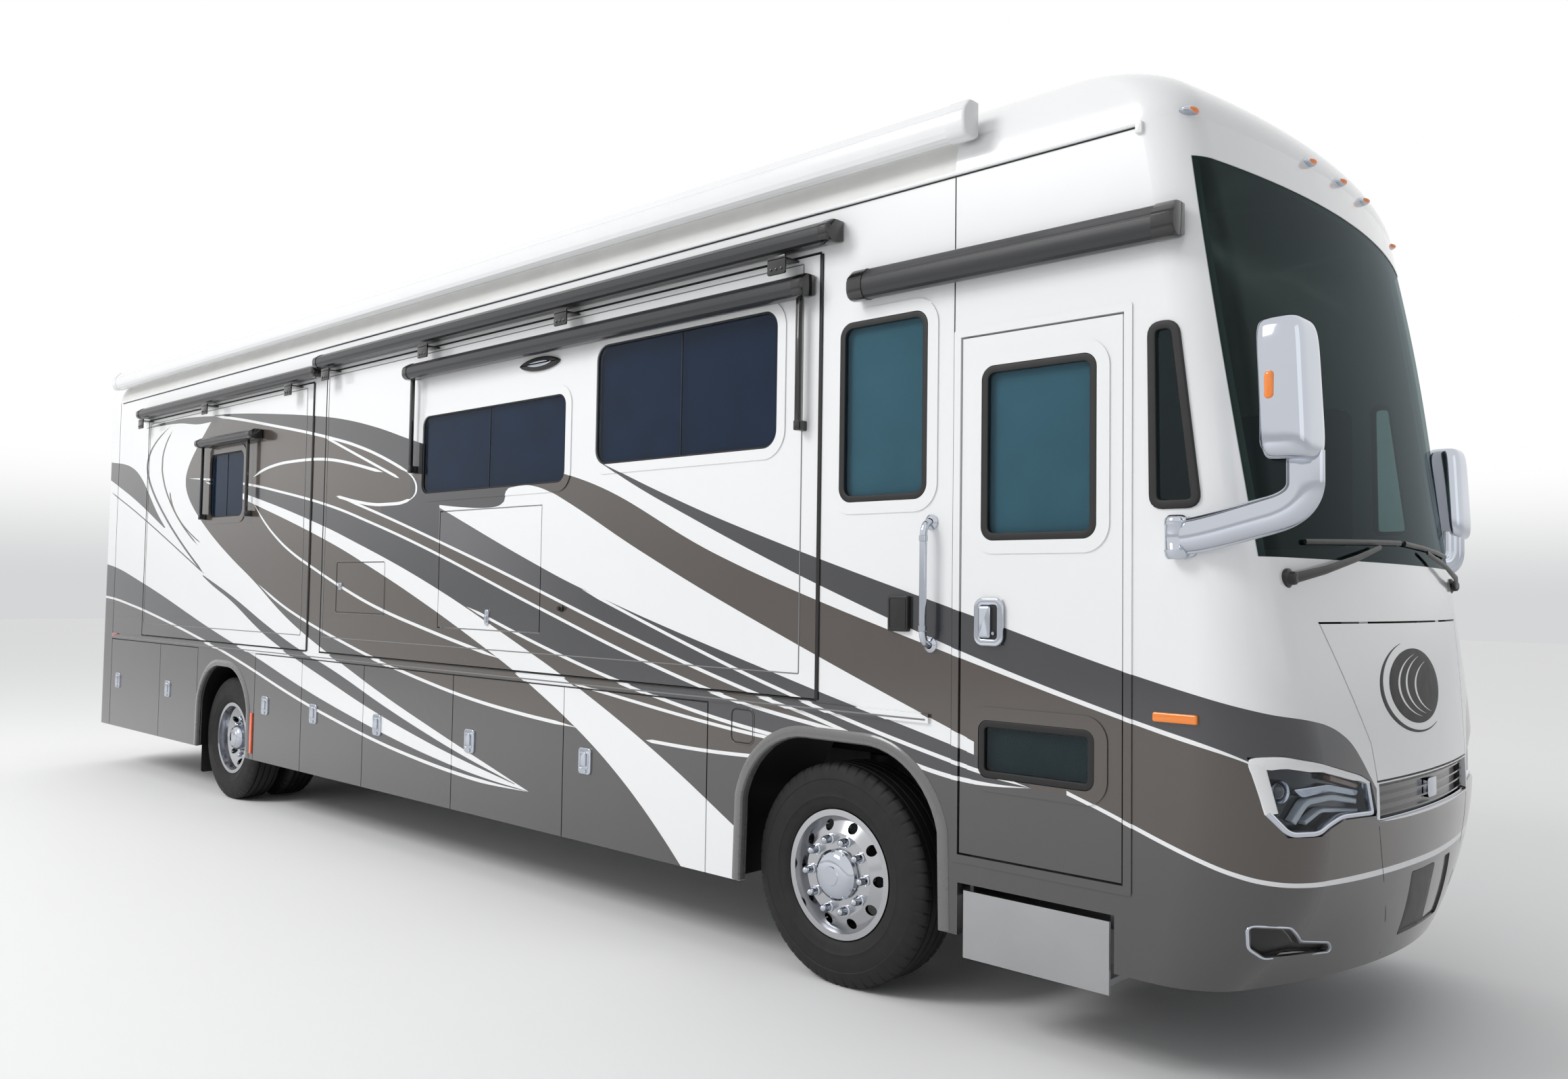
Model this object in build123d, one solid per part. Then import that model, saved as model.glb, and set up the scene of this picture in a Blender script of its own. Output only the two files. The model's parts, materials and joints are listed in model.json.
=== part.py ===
"""A rear-engined coach motorhome, 12.3 m long, as an assembly of separate bodies.

Millimetres. +X is forward, +Y is the left side and +Z is up. The origin is on the ground under
the middle of the overall length. Every piece is written to parts/ under its own node name.
"""
import os
from functools import lru_cache
from math import atan2, cos, pi, radians, sin, sqrt

from build123d import *

# Driving dimensions of the coach
WHEELBASE = 6905.0
FRONT_AXLE_X = 3850.0
REAR_AXLE_X = FRONT_AXLE_X - WHEELBASE
FRONT_OVERHANG = 2255.0
REAR_OVERHANG = 3115.0
NOSE_X = FRONT_AXLE_X + FRONT_OVERHANG
TAIL_X = REAR_AXLE_X - REAR_OVERHANG
BODY_HALF = 1282.5
WALL = 40.0
SKIRT_Z = 408.0
BAY_TOP_Z = 1272.0
EAVE_Z = 3700.0
SEAM_GAP = 8.0
SEAT_GAP = 0.3

# Seams between the end caps and the side walls
CAP_SEAM_X = FRONT_AXLE_X + 710.0
TAIL_SEAM_X = TAIL_X + 350.0

# Roofs: the edge radius and the rise of the crown
ROOF_EDGE_R = 230.0
ROOF_CROWN = 35.0
CAP_EDGE_R = 360.0
CAP_FLAT_X = NOSE_X - 1135.0
ROOF_THICK = 45.0

# Floor and chassis
FLOOR_Z = 1285.0
FLOOR_THICK = 60.0
RAIL_Y = 430.0
RAIL_WIDTH = 80.0
RAIL_TOP_Z = FLOOR_Z - FLOOR_THICK
RAIL_HEIGHT = 235.0
BAY_FLOOR_THICK = 30.0
CROSS_MEMBERS_X = (REAR_AXLE_X - 845.0, REAR_AXLE_X + 455.0, -1700.0, -200.0, 1200.0, 2400.0,
                   FRONT_AXLE_X - 550.0, FRONT_AXLE_X + 570.0)

# Wheels
TYRE_R = 520.0
TYRE_WIDTH = 290.0
RIM_R = 286.0
RIM_FLANGE_R = 303.0
FLANGE_SET = 24.0
FRONT_TRACK_Y = BODY_HALF - 214.5
DUAL_OUTER_Y = BODY_HALF - 207.5
DUAL_PITCH = 335.0
DUAL_TYRE_WIDTH = 270.0
KINGPIN_Y = FRONT_TRACK_Y - 210.0
SPINDLE_R = 42.0
RUNNING_GAP = 0.05
STEER_LOCK = 40.0

# Front cap plan sections, bottom to top.
# Columns: height, how far the nose stands back, corner radius, front radius
CAP_SECTIONS = (
    (SKIRT_Z, 99.0, 300.0, 2600.0),
    (820.0, 0.0, 420.0, 4200.0),
    (1300.0, 10.0, 360.0, 5000.0),
    (2010.0, 110.0, 260.0, 5400.0),
    (3530.0, 335.0, 200.0, 5400.0),
    (EAVE_Z, 370.0, 200.0, 5400.0),
)
DOME_ANGLES = (0.0, 18.0, 36.0, 54.0, 72.0, 90.0)

# Entry door in the right side of the front cap
DOOR_REAR_X = 4605.0
DOOR_FRONT_X = 5354.0
DOOR_Z = 755.0
DOOR_TOP_Z = 2950.0
DOOR_THICK = 45.0
STEP_TOP_Z = 620.0
STEP_X = (DOOR_REAR_X + 22, DOOR_FRONT_X - 52)
STEP_RIM = 20.0
STEP_INNER_Y = -870.0

# The stairwell: rear, front, outer and inner edge, its sheet and its height above the folded step
STEP_WELL = (DOOR_REAR_X + 15, DOOR_FRONT_X - 15, WALL - BODY_HALF - 2, -650.0)
WELL_SHEET = 15.0
WELL_ABOVE_STEP = 90.0

# Wheel arches in the skirts. Columns: rear edge, front edge, top
FRONT_ARCH = (FRONT_AXLE_X - 565.0, FRONT_AXLE_X + 655.0, 1160.0)
REAR_ARCH = (REAR_AXLE_X - 525.0, REAR_AXLE_X + 525.0, 1140.0)
ARCH_CORNER_R = 430.0

# Ends of the bay rows: behind the rear wheels, ahead of them and behind the front wheels
TAIL_BAY_X = REAR_ARCH[0] - 920.0
TAIL_BAY_END_X = REAR_ARCH[0] - 30.0
MAIN_BAY_X = REAR_ARCH[1] + 120.0
MAIN_BAY_END_X = FRONT_ARCH[0] - 249.0

# Seams between the bay doors, from the rear; a pair with an arch between them has no door
RIGHT_BAYS = (
    (TAIL_SEAM_X, TAIL_BAY_X),
    (TAIL_BAY_X, TAIL_BAY_END_X),
    (MAIN_BAY_X, -1560.0),
    (-1560.0, -580.0),
    (-580.0, 610.0),
    (610.0, 1810.0),
    (1810.0, MAIN_BAY_END_X),
)
LEFT_BAYS = (
    (MAIN_BAY_X, -1050.0),
    (-1050.0, 310.0),
    (310.0, 1670.0),
    (1670.0, MAIN_BAY_END_X),
)
BAY_DEPTH = 700.0
BAY_DOOR_SET = 2.0
BULKHEADS_X = (TAIL_BAY_X, TAIL_BAY_END_X, MAIN_BAY_X, -1050.0, 610.0, 1810.0, MAIN_BAY_END_X)

# Slide rooms. Columns: rear x, front x, top z, depth of the room
SLIDE_Z = 1345.0
SLIDES = {
    "rear_right": (TAIL_SEAM_X + 820.0, -1510.0, 3425.0, 760.0),
    "mid_right": (-1280.0, 3770.0, 3475.0, 860.0),
    "left": (-1280.0, 3770.0, 3475.0, 860.0),
}
SLIDE_SHELL = 35.0
SLIDE_CLEAR = 9.0

# Windows. Columns: rear x, front x, bottom z, top z, corner radius
WINDOWS = {
    "rear_right": ((-3470.0, -2760.0, 2430.0, 2990.0, 70.0),),
    "mid_right": ((150.0, 1770.0, 2480.0, 3010.0, 70.0), (2060.0, 3500.0, 2560.0, 3250.0, 90.0)),
    "left": ((-700.0, 700.0, 2480.0, 3110.0, 80.0), (1700.0, 3300.0, 2480.0, 3110.0, 80.0)),
    "wall_right": ((3910.0, 4420.0, 2268.0, 3113.0, 70.0),),
    "wall_left": ((-4600.0, -3700.0, 2430.0, 2990.0, 70.0), (-2900.0, -2000.0, 2430.0, 2990.0, 70.0)),
}
DRIVER_WINDOW = (4680.0, 5380.0, 2130.0, 2890.0, 80.0)
DOOR_WINDOW = (4705.0, 5246.0, 2076.0, 2818.0, 60.0)
KICK_WINDOW = (4700.0, 5240.0, 1085.0, 1325.0, 45.0)
QUARTER_WINDOW = ((5469.0, 2888.0), (5572.0, 2888.0), (5659.0, 2193.0), (5478.0, 2193.0))
QUARTER_CORNER_R = 42.0
GLASS_THICK = 14.0
GLASS_INSET = 8.0
BEZEL = 55.0
BEZEL_RISE = 6.0

# Windscreen outline seen from the side: x and z of its edge on the body side, and its two levels
SCREEN_TOP_Z = 3537.0
SCREEN_BOTTOM_Z = 2003.0
SCREEN_SIDE = ((5601.0, SCREEN_TOP_Z), (5838.0, SCREEN_BOTTOM_Z))

# Hood and grille outlines seen from the front: y and z, right half
HOOD_OUTLINE = ((905.0, 1765.0), (787.0, 1561.0), (640.0, 1300.0), (612.0, 1150.0))
HOOD_THICK = 24.0
GRILLE_HALF = 600.0
GRILLE_Z = 1008.0
GRILLE_TOP_Z = 1138.0
GRILLE_SLATS = 4
HEADLIGHT_Z = (975.0, 1300.0)
HEADLIGHT_OUTLINE = (
    (1236.0, 1277.0), (1160.0, 1285.0), (1013.0, 1256.0), (738.0, 1191.0), (664.0, 1161.0),
    (618.0, 1027.0), (857.0, 1036.0), (946.0, 1013.0), (1006.0, 989.0), (1137.0, 992.0), (1196.0, 1073.0),
)

# The access door of the outside locker in the right mid slide room
LOCKER = (390.0, 1550.0, 1575.0, 2355.0)
LOCKER_DOOR_THICK = 25.0

# The steering wheel and how far its column reaches down to the dash
WHEEL_CENTRE = (5210.0, 560.0, 1800.0)
COLUMN_LENGTH = 110.0

# Door mirrors
MIRROR_OUT_Y = -BODY_HALF - 342.5
MIRROR_WIDTH = 250.0
MIRROR_DEPTH = 165.0
MIRROR_HEIGHT = 485.0

# Tail lamps: distance from the middle, half width, low and high
TAIL_LAMP = (1010.0, 60.0, 900.0, 1500.0)
TAIL_LAMP_DEPTH = 18.0

# Rear engine door
ENGINE_DOOR_HALF = 780.0
ENGINE_DOOR_Z = 620.0
ENGINE_DOOR_TOP_Z = 1640.0

# Tow receiver: inside of the square tube and its pin hole
RECEIVER_BORE = 50.8
RECEIVER_WALL = 6.35
RECEIVER_Z = 370.0
RECEIVER_LENGTH = 260.0
HITCH_PIN_R = 7.95

# Pockets of the lower front seen from the front: the vent's outline, and the plate recess's half width and levels
VENT_OUTLINE = (
    (1190.0, 661.0), (1071.0, 651.0), (1026.0, 617.0), (990.0, 587.0), (817.0, 558.0), (782.0, 526.0),
    (1119.0, 546.0), (1172.0, 584.0),
)
VENT_DEPTH = 24.0
PLATE_RECESS = (270.0, 500.0, 765.0)
PLATE_DEPTH = 9.0

# The raised frame round the entry door
DOOR_FRAME = 34.0
DOOR_FRAME_RISE = 6.0

# How far behind the nose its rounded corners and its lamps reach
CORNER_REACH = 560.0
NOSE_REACH = 320.0


# Shared shape helpers
def block(x0, x1, y0, y1, z0, z1):
    """A box between two corners."""
    return Pos((x0 + x1) / 2, (y0 + y1) / 2, (z0 + z1) / 2) * Box(x1 - x0, y1 - y0, z1 - z0)


def rounded(x0, x1, z0, z1, radius):
    """A rounded rectangle in a sketch plane."""
    return Pos((x0 + x1) / 2, (z0 + z1) / 2) * RectangleRounded(x1 - x0, z1 - z0, radius)


def along_y(sketch, y0, y1):
    """An X-Z sketch pushed from y0 to y1."""
    return Pos(0, y1, 0) * extrude(Plane.XZ * sketch, amount=y1 - y0)


def along_x(sketch, x0, x1):
    """A Y-Z sketch pushed from x0 to x1."""
    return Pos(x0, 0, 0) * extrude(Plane.YZ * sketch, amount=x1 - x0)


def rod(radius, start, end):
    """A round bar between two points."""
    a, b = Vector(*start), Vector(*end)
    return extrude(Plane(a, z_dir=b - a) * Circle(radius), amount=(b - a).length)


def outline(points):
    """A closed sketch through straight corners."""
    return make_face(Polyline(*points, close=True))


def left_of(shape):
    """The same piece on the left side."""
    return mirror(shape, about=Plane.XZ)


def fuse(shapes):
    """One solid from touching pieces."""
    shapes = list(shapes)
    result = shapes[0]
    for shape in shapes[1:]:
        result = result + shape
    return result


def side(shape, is_left):
    """Put a piece made for the right side on the side asked for."""
    return left_of(shape) if is_left else shape


# Cross-section of the body and the front cap's lofted form
def body_section(inset, bottom_z, edge_r, crown):
    """The body seen from the front: straight walls, rounded roof edges and a crowned roof."""
    half, radius = BODY_HALF - inset, edge_r - inset
    turn = radius * sqrt(0.5)
    top = EAVE_Z + radius
    right = Line((-half, bottom_z), (-half, EAVE_Z))
    right_arc = ThreePointArc(
        (-half, EAVE_Z), (-half + radius - turn, EAVE_Z + turn), (-half + radius, top))
    roof = ThreePointArc((-half + radius, top), (0, top + crown), (half - radius, top))
    left_arc = ThreePointArc(
        (half - radius, top), (half - radius + turn, EAVE_Z + turn), (half, EAVE_Z))
    left = Line((half, EAVE_Z), (half, bottom_z))
    return make_face(Curve() + [right, right_arc, roof, left_arc, left,
                                Line((half, bottom_z), (-half, bottom_z))])


def plan_section(height, nose_x, half, corner_r, front_r, rear_x):
    """One level of the front cap: straight sides, round corners and a bowed front."""
    centre_x = nose_x - front_r
    corner_y = half - corner_r
    corner_x = centre_x + sqrt((front_r - corner_r) ** 2 - corner_y ** 2)
    meet = front_r / (front_r - corner_r)
    front_x, front_y = centre_x + (corner_x - centre_x) * meet, corner_y * meet
    mid = (atan2(front_y, front_x - centre_x) + pi / 2) / 2
    mid_x, mid_y = corner_x + corner_r * cos(mid), corner_y + corner_r * sin(mid)
    return Plane.XY.offset(height) * make_face(Curve() + [
        Line((rear_x, half), (rear_x, -half)),
        Line((rear_x, -half), (corner_x, -half)),
        ThreePointArc((corner_x, -half), (mid_x, -mid_y), (front_x, -front_y)),
        ThreePointArc((front_x, -front_y), (nose_x, 0), (front_x, front_y)),
        ThreePointArc((front_x, front_y), (mid_x, mid_y), (corner_x, half)),
        Line((corner_x, half), (rear_x, half)),
    ])


@lru_cache
def cap_solid(inset, rear_x=CAP_SEAM_X, drop=0.0):
    """The front cap's form, moved inwards by inset, as one closed solid."""
    half = BODY_HALF - inset
    walls = []
    for index, (height, back, corner_r, front_r) in enumerate(CAP_SECTIONS):
        level = height - (drop if index == 0 else 0.0)
        walls.append(plan_section(level, NOSE_X - back - inset, half, corner_r - inset,
                                  front_r - inset, rear_x))
    _, back, corner_r, front_r = CAP_SECTIONS[-1]
    brow_x = NOSE_X - back - inset
    edge_r = CAP_EDGE_R - inset
    dome = []
    for angle in DOME_ANGLES:
        reach, rise = cos(radians(angle)), sin(radians(angle))
        dome.append(plan_section(
            EAVE_Z + edge_r * rise, CAP_FLAT_X + (brow_x - CAP_FLAT_X) * reach,
            half - edge_r * (1 - reach), corner_r - inset, front_r - inset, rear_x))
    return loft(walls) + loft(dome)


def front_prism(sketch):
    """A front-view sketch pushed through the front skin."""
    return along_x(sketch, NOSE_X - NOSE_REACH, NOSE_X + 200.0)


def front_band(outer, inner, sketch):
    """The part of the front skin between two insets that lies inside a front-view sketch."""
    return (cap_solid(outer) & front_prism(sketch)) - cap_solid(inner)


def level_band(outer, inner, z0, z1, half_width):
    """An upright strip that follows the front's plan at mid height, between two insets."""
    middle = (z0 + z1) / 2
    low, high = [pair for pair in zip(CAP_SECTIONS, CAP_SECTIONS[1:]) if pair[0][0] <= middle <= pair[1][0]][0]
    share = (middle - low[0]) / (high[0] - low[0])
    back, corner_r, front_r = (a + (b - a) * share for a, b in zip(low[1:], high[1:]))
    rear_x = NOSE_X - CORNER_REACH
    faces = [plan_section(z0, NOSE_X - back - inset, BODY_HALF - inset, corner_r - inset, front_r - inset, rear_x)
             for inset in (outer, inner)]
    band = extrude(faces[0] - faces[1], amount=z1 - z0, dir=(0, 0, 1))
    return band & block(rear_x, NOSE_X + 50, -half_width, half_width, z0, z1)


def mirrored_outline(points):
    """A front-view outline from its right half, closed across the middle."""
    right = [(-y, z) for y, z in points]
    left = [(y, z) for y, z in reversed(points)]
    return outline(right + left)


# Windows
def window_hole(window, y0, y1):
    x0, x1, z0, z1, radius = window
    return along_y(rounded(x0, x1, z0, z1, radius), y0, y1)


def window_bezel(window, y_outer):
    """The raised surround moulded on a wall."""
    x0, x1, z0, z1, radius = window
    ring = rounded(x0 - BEZEL, x1 + BEZEL, z0 - BEZEL, z1 + BEZEL, radius + BEZEL)
    ring -= rounded(x0, x1, z0, z1, radius)
    return along_y(ring, y_outer - BEZEL_RISE, y_outer + 5.0)


def quarter_outline():
    """The narrow quarter window ahead of the door, with rounded corners."""
    sheet = outline(QUARTER_WINDOW)
    return fillet(sheet.vertices(), QUARTER_CORNER_R)


def window_glass(window, y_outer):
    """A pane just inside its hole."""
    x0, x1, z0, z1, radius = window
    pane = rounded(x0 + SEAT_GAP, x1 - SEAT_GAP, z0 + SEAT_GAP, z1 - SEAT_GAP, radius)
    return along_y(pane, y_outer + GLASS_INSET, y_outer + GLASS_INSET + GLASS_THICK)


# Structure
def chassis_frame():
    """Two deep rails with cross-members and the tow receiver."""
    rear_x, front_x = TAIL_X + 130.0, CAP_FLAT_X + 420.0
    bottom = RAIL_TOP_Z - RAIL_HEIGHT
    pieces = []
    for y in (-RAIL_Y, RAIL_Y):
        pieces.append(block(rear_x, front_x, y - RAIL_WIDTH / 2, y + RAIL_WIDTH / 2, bottom, RAIL_TOP_Z))
    for x in (rear_x + 60, *CROSS_MEMBERS_X, front_x - 60):
        pieces.append(block(x - 40, x + 40, -RAIL_Y, RAIL_Y, bottom + 60, bottom + 180))
    outer = RECEIVER_BORE / 2 + RECEIVER_WALL
    bar_x = TAIL_X + RECEIVER_LENGTH + 30.0
    pieces.append(block(bar_x - 40, bar_x + 40, -RAIL_Y - 40, RAIL_Y + 40, RECEIVER_Z - 40, RECEIVER_Z + 40))
    for y in (-RAIL_Y, RAIL_Y):
        pieces.append(block(bar_x - 60, bar_x + 60, y - 12, y + 12, RECEIVER_Z - 40, bottom + 20))
    pieces.append(block(TAIL_X + 5, bar_x, -outer, outer, RECEIVER_Z - outer, RECEIVER_Z + outer))
    frame = fuse(pieces)
    frame -= block(TAIL_X - 10, TAIL_X + RECEIVER_LENGTH - 40, -RECEIVER_BORE / 2, RECEIVER_BORE / 2,
                   RECEIVER_Z - RECEIVER_BORE / 2, RECEIVER_Z + RECEIVER_BORE / 2)
    pin_x = TAIL_X + 70.0
    return frame - rod(HITCH_PIN_R, (pin_x, -100, RECEIVER_Z), (pin_x, 100, RECEIVER_Z))


def step_well():
    """The stairwell inside the entry door, with its inner step and the ribs that carry the folding step."""
    x0, x1, y0, y1 = STEP_WELL
    slab_z = FLOOR_Z - FLOOR_THICK
    well_z = STEP_TOP_Z + WELL_ABOVE_STEP
    sheet = WELL_SHEET
    well = block(x0 - sheet, x1 + sheet, y0 + 12, y1 + sheet, well_z - 25, slab_z - SEAT_GAP)
    well -= block(x0, x1, y0 - 50, y1, well_z, slab_z + 10)
    well += block(x0, x1, y0 + 290, y1, well_z - 1, well_z + 260.0)
    for low_x, high_x in ((STEP_X[0] + 2, STEP_X[0] + STEP_RIM - SEAT_GAP),
                          (STEP_X[1] - STEP_RIM + SEAT_GAP, STEP_X[1] - 2)):
        well += block(low_x, high_x, y0 + 12, STEP_INNER_Y, STEP_TOP_Z - 60, well_z - 24)
    return well


def wall_spans(bays):
    """The stretches of a skirt between its bay doors, where the side wall comes down behind it."""
    spans = []
    edge = TAIL_SEAM_X
    for rear, front in (*bays, (CAP_SEAM_X, CAP_SEAM_X)):
        if rear - edge > SEAM_GAP:
            spans.append((edge + SEAM_GAP / 2, rear - SEAM_GAP / 2))
        edge = front
    return spans


def body_floor():
    """The floor slab, notched for the entry well, with the bay bulkheads and the bay floors."""
    half = BODY_HALF - WALL
    slab_z = FLOOR_Z - FLOOR_THICK
    front_x = NOSE_X - 560.0
    pieces = [
        block(TAIL_SEAM_X, CAP_SEAM_X, -half, half, slab_z, FLOOR_Z),
        block(CAP_SEAM_X - 10, front_x, -half + 10, half - 10, slab_z, FLOOR_Z),
    ]
    well = STEP_WELL
    floor = fuse(pieces) - block(well[0], well[1], well[2] - 50, well[3], slab_z - 10, FLOOR_Z + 10)
    low = SKIRT_Z + 4
    reach = half + BAY_DOOR_SET - SEAT_GAP
    for x in BULKHEADS_X:
        floor += block(x - 10, x + 10, -reach, reach, low, slab_z + 1)
    floor -= block(TAIL_SEAM_X, REAR_ARCH[0] + 80, -BAY_DEPTH, BAY_DEPTH, low - 10, slab_z)
    floor += block(MAIN_BAY_X, MAIN_BAY_END_X, -reach, reach, low, low + BAY_FLOOR_THICK)
    for y0, y1 in ((-reach, -BAY_DEPTH), (BAY_DEPTH, reach)):
        floor += block(TAIL_SEAM_X + 60, TAIL_BAY_END_X + 10, y0, y1, low, low + BAY_FLOOR_THICK)
    for bays, is_left in ((RIGHT_BAYS, False), (LEFT_BAYS, True)):
        for rear, front in wall_spans(bays):
            floor -= side(block(rear, front, -half - 5, -half, low - 10, slab_z + 2), is_left)
    bottom = RAIL_TOP_Z - RAIL_HEIGHT
    for y in (-RAIL_Y, RAIL_Y):
        floor -= block(TAIL_X, NOSE_X, y - RAIL_WIDTH / 2, y + RAIL_WIDTH / 2, bottom, slab_z)
    for name, (x0, x1, _, depth) in SLIDES.items():
        for x in (x0 + 400.0, (x0 + x1) / 2, x1 - 400.0):
            floor += side(block(x - 45, x + 45, -half, -half + depth - 60, FLOOR_Z - 1, SLIDE_Z - SEAT_GAP),
                          name == "left")
    return floor


def arch_hole(arch):
    rear, front, top = arch
    return rounded(rear, front, 2 * SKIRT_Z - top, top, ARCH_CORNER_R)


def side_wall(is_left):
    """A side wall from cap to cap, with its openings."""
    sheet = rounded(TAIL_SEAM_X, CAP_SEAM_X, SKIRT_Z, EAVE_Z, 0.5)
    sheet -= arch_hole(FRONT_ARCH)
    sheet -= arch_hole(REAR_ARCH)
    bays = LEFT_BAYS if is_left else RIGHT_BAYS
    for rear, front in bays:
        low, high = SKIRT_Z - 5, BAY_TOP_Z + SEAM_GAP
        sheet -= Pos((rear + front) / 2, (low + high) / 2) * Rectangle(front - rear + SEAM_GAP, high - low)
    names = ("left",) if is_left else ("rear_right", "mid_right")
    for name in names:
        x0, x1, top, _ = SLIDES[name]
        sheet -= Pos((x0 + x1) / 2, (SLIDE_Z + top) / 2) * Rectangle(
            x1 - x0 + 2 * SLIDE_CLEAR, top - SLIDE_Z + 2 * SLIDE_CLEAR)
    wall = along_y(sheet, -BODY_HALF, -BODY_HALF + WALL)
    for window in WINDOWS["wall_left" if is_left else "wall_right"]:
        wall += window_bezel(window, -BODY_HALF)
        wall -= window_hole(window, -BODY_HALF - 50, -BODY_HALF + WALL + 50)
    rail = block(TAIL_SEAM_X, FRONT_ARCH[1] - 60, -BODY_HALF - 14, -BODY_HALF + 5, BAY_TOP_Z + SEAM_GAP + 6,
                 BAY_TOP_Z + SEAM_GAP + 46)
    wall += rail
    return side(wall, is_left)


def roof_form():
    """The roof's outer form with a seat's clearance, to cut what stands on it."""
    return along_x(body_section(-SEAT_GAP, EAVE_Z - 50, ROOF_EDGE_R, ROOF_CROWN), TAIL_SEAM_X, CAP_SEAM_X)


def roof():
    """The crowned roof between the end caps."""
    shell = body_section(0, EAVE_Z - 50, ROOF_EDGE_R, ROOF_CROWN)
    shell -= body_section(ROOF_THICK, EAVE_Z - 60, ROOF_EDGE_R, ROOF_CROWN)
    shell -= Pos(0, EAVE_Z - 50) * Rectangle(3 * BODY_HALF, 100)
    return along_x(shell, TAIL_SEAM_X, CAP_SEAM_X)


def screen_prism(gap):
    """Everything inside the windscreen's edge, seen from the side."""
    (top_x, top_z), (low_x, low_z) = SCREEN_SIDE
    reach = NOSE_X + 300.0
    return along_y(outline(((top_x + gap, top_z - gap), (low_x + gap, low_z + gap),
                            (reach, low_z + gap), (reach, top_z - gap))), -BODY_HALF - 50, BODY_HALF + 50)


def lower_pockets():
    """The pockets of the lower front with their depths: a vent at each side and the plate recess."""
    vent = fillet(outline([(-y, z) for y, z in VENT_OUTLINE]).vertices(), 8.0)
    half, low, high = PLATE_RECESS
    plate = Pos(0, (low + high) / 2) * RectangleRounded(2 * half, high - low, 14.0)
    return (vent, VENT_DEPTH), (vent.mirror(Plane.YZ), VENT_DEPTH), (plate, PLATE_DEPTH)


def front_cap():
    """The lofted front moulding: nose, pillars, brow and the sides round the entry door."""
    cap = cap_solid(0) - cap_solid(WALL, CAP_SEAM_X - 50, 60.0)
    cap -= screen_prism(0)
    out = -BODY_HALF - 60
    within = -BODY_HALF + 2 * WALL
    cap += window_bezel(DRIVER_WINDOW, -BODY_HALF).mirror(Plane.XZ)
    cap -= window_hole(DRIVER_WINDOW, out, within).mirror(Plane.XZ)
    cap -= block(DOOR_REAR_X - SEAM_GAP, DOOR_FRONT_X + SEAM_GAP, out, within,
                 DOOR_Z - SEAM_GAP, DOOR_TOP_Z + SEAM_GAP)
    inner = -BODY_HALF + DOOR_THICK + SEAT_GAP
    landing = block(DOOR_REAR_X - 20, DOOR_FRONT_X + 30, -BODY_HALF + WALL - 1, inner + 4, DOOR_Z - 20, DOOR_TOP_Z + 30)
    landing -= block(DOOR_REAR_X + 12, DOOR_FRONT_X - 12, out, within, DOOR_Z + 12, DOOR_TOP_Z - 12)
    landing -= block(DOOR_REAR_X - SEAM_GAP, DOOR_FRONT_X + SEAM_GAP, out, inner, DOOR_Z - SEAM_GAP,
                     DOOR_TOP_Z + SEAM_GAP)
    cap += landing
    hinge_z = HOOD_OUTLINE[0][1]
    cap -= block(DOOR_REAR_X - SEAM_GAP, DOOR_FRONT_X - 30, out, within, 0, STEP_TOP_Z + SEAM_GAP)
    quarter = along_y(quarter_outline(), out, within)
    cap -= quarter
    cap -= left_of(quarter)
    mouth = Pos(0, (GRILLE_Z + GRILLE_TOP_Z) / 2) * Rectangle(2 * GRILLE_HALF, GRILLE_TOP_Z - GRILLE_Z + 14)
    lamp = outline([(-y, z) for y, z in HEADLIGHT_OUTLINE])
    cut = front_prism(mirrored_outline(HOOD_OUTLINE) + mouth + lamp)
    cap = cap - cut - left_of(front_prism(lamp))
    for y in (-500.0, 500.0):
        lug = block(NOSE_X - 190, NOSE_X, y - 40, y + 40, hinge_z - 60, hinge_z + 30)
        cap += cap_solid(HOOD_THICK + SEAT_GAP) & lug
    for pocket, depth in lower_pockets():
        cap -= front_prism(pocket) - cap_solid(depth)
    frame = rounded(DOOR_REAR_X - SEAM_GAP - DOOR_FRAME, DOOR_FRONT_X + SEAM_GAP + DOOR_FRAME,
                    DOOR_Z - SEAM_GAP - DOOR_FRAME, DOOR_TOP_Z + SEAM_GAP + DOOR_FRAME, 12.0)
    frame -= rounded(DOOR_REAR_X - SEAM_GAP, DOOR_FRONT_X + SEAM_GAP, DOOR_Z - SEAM_GAP, DOOR_TOP_Z + SEAM_GAP, 1.0)
    return cap + along_y(frame, -BODY_HALF - DOOR_FRAME_RISE, -BODY_HALF + 5)


def rear_cap():
    """The rear moulding with round corners and the engine door's opening."""
    outer = along_x(body_section(0, SKIRT_Z, ROOF_EDGE_R, ROOF_CROWN), TAIL_X, TAIL_SEAM_X)
    rear_edges = outer.edges().filter_by_position(Axis.X, TAIL_X - 1, TAIL_X + 1)
    rear_edges = [e for e in rear_edges if e.center().Z > SKIRT_Z + 5]
    outer = fillet(rear_edges, 130.0)
    inner = along_x(body_section(WALL, SKIRT_Z - 50, ROOF_EDGE_R, ROOF_CROWN), TAIL_X + WALL, TAIL_SEAM_X + 10)
    inner_edges = inner.edges().filter_by_position(Axis.X, TAIL_X + WALL - 1, TAIL_X + WALL + 1)
    inner_edges = [e for e in inner_edges if e.center().Z > SKIRT_Z - 45]
    inner = fillet(inner_edges, 90.0)
    cap = outer - inner
    door = rounded(-ENGINE_DOOR_HALF, ENGINE_DOOR_HALF, ENGINE_DOOR_Z, ENGINE_DOOR_TOP_Z, 60.0)
    frame = offset(door, 30.0) - offset(door, -24.0)
    inside = TAIL_X + WALL
    cap += along_x(frame, inside - 1, inside + 16)
    cap -= along_x(door, TAIL_X - 50, inside + SEAT_GAP)
    return cap - tail_lamp(1, SEAT_GAP) - tail_lamp(-1, SEAT_GAP)


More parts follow.
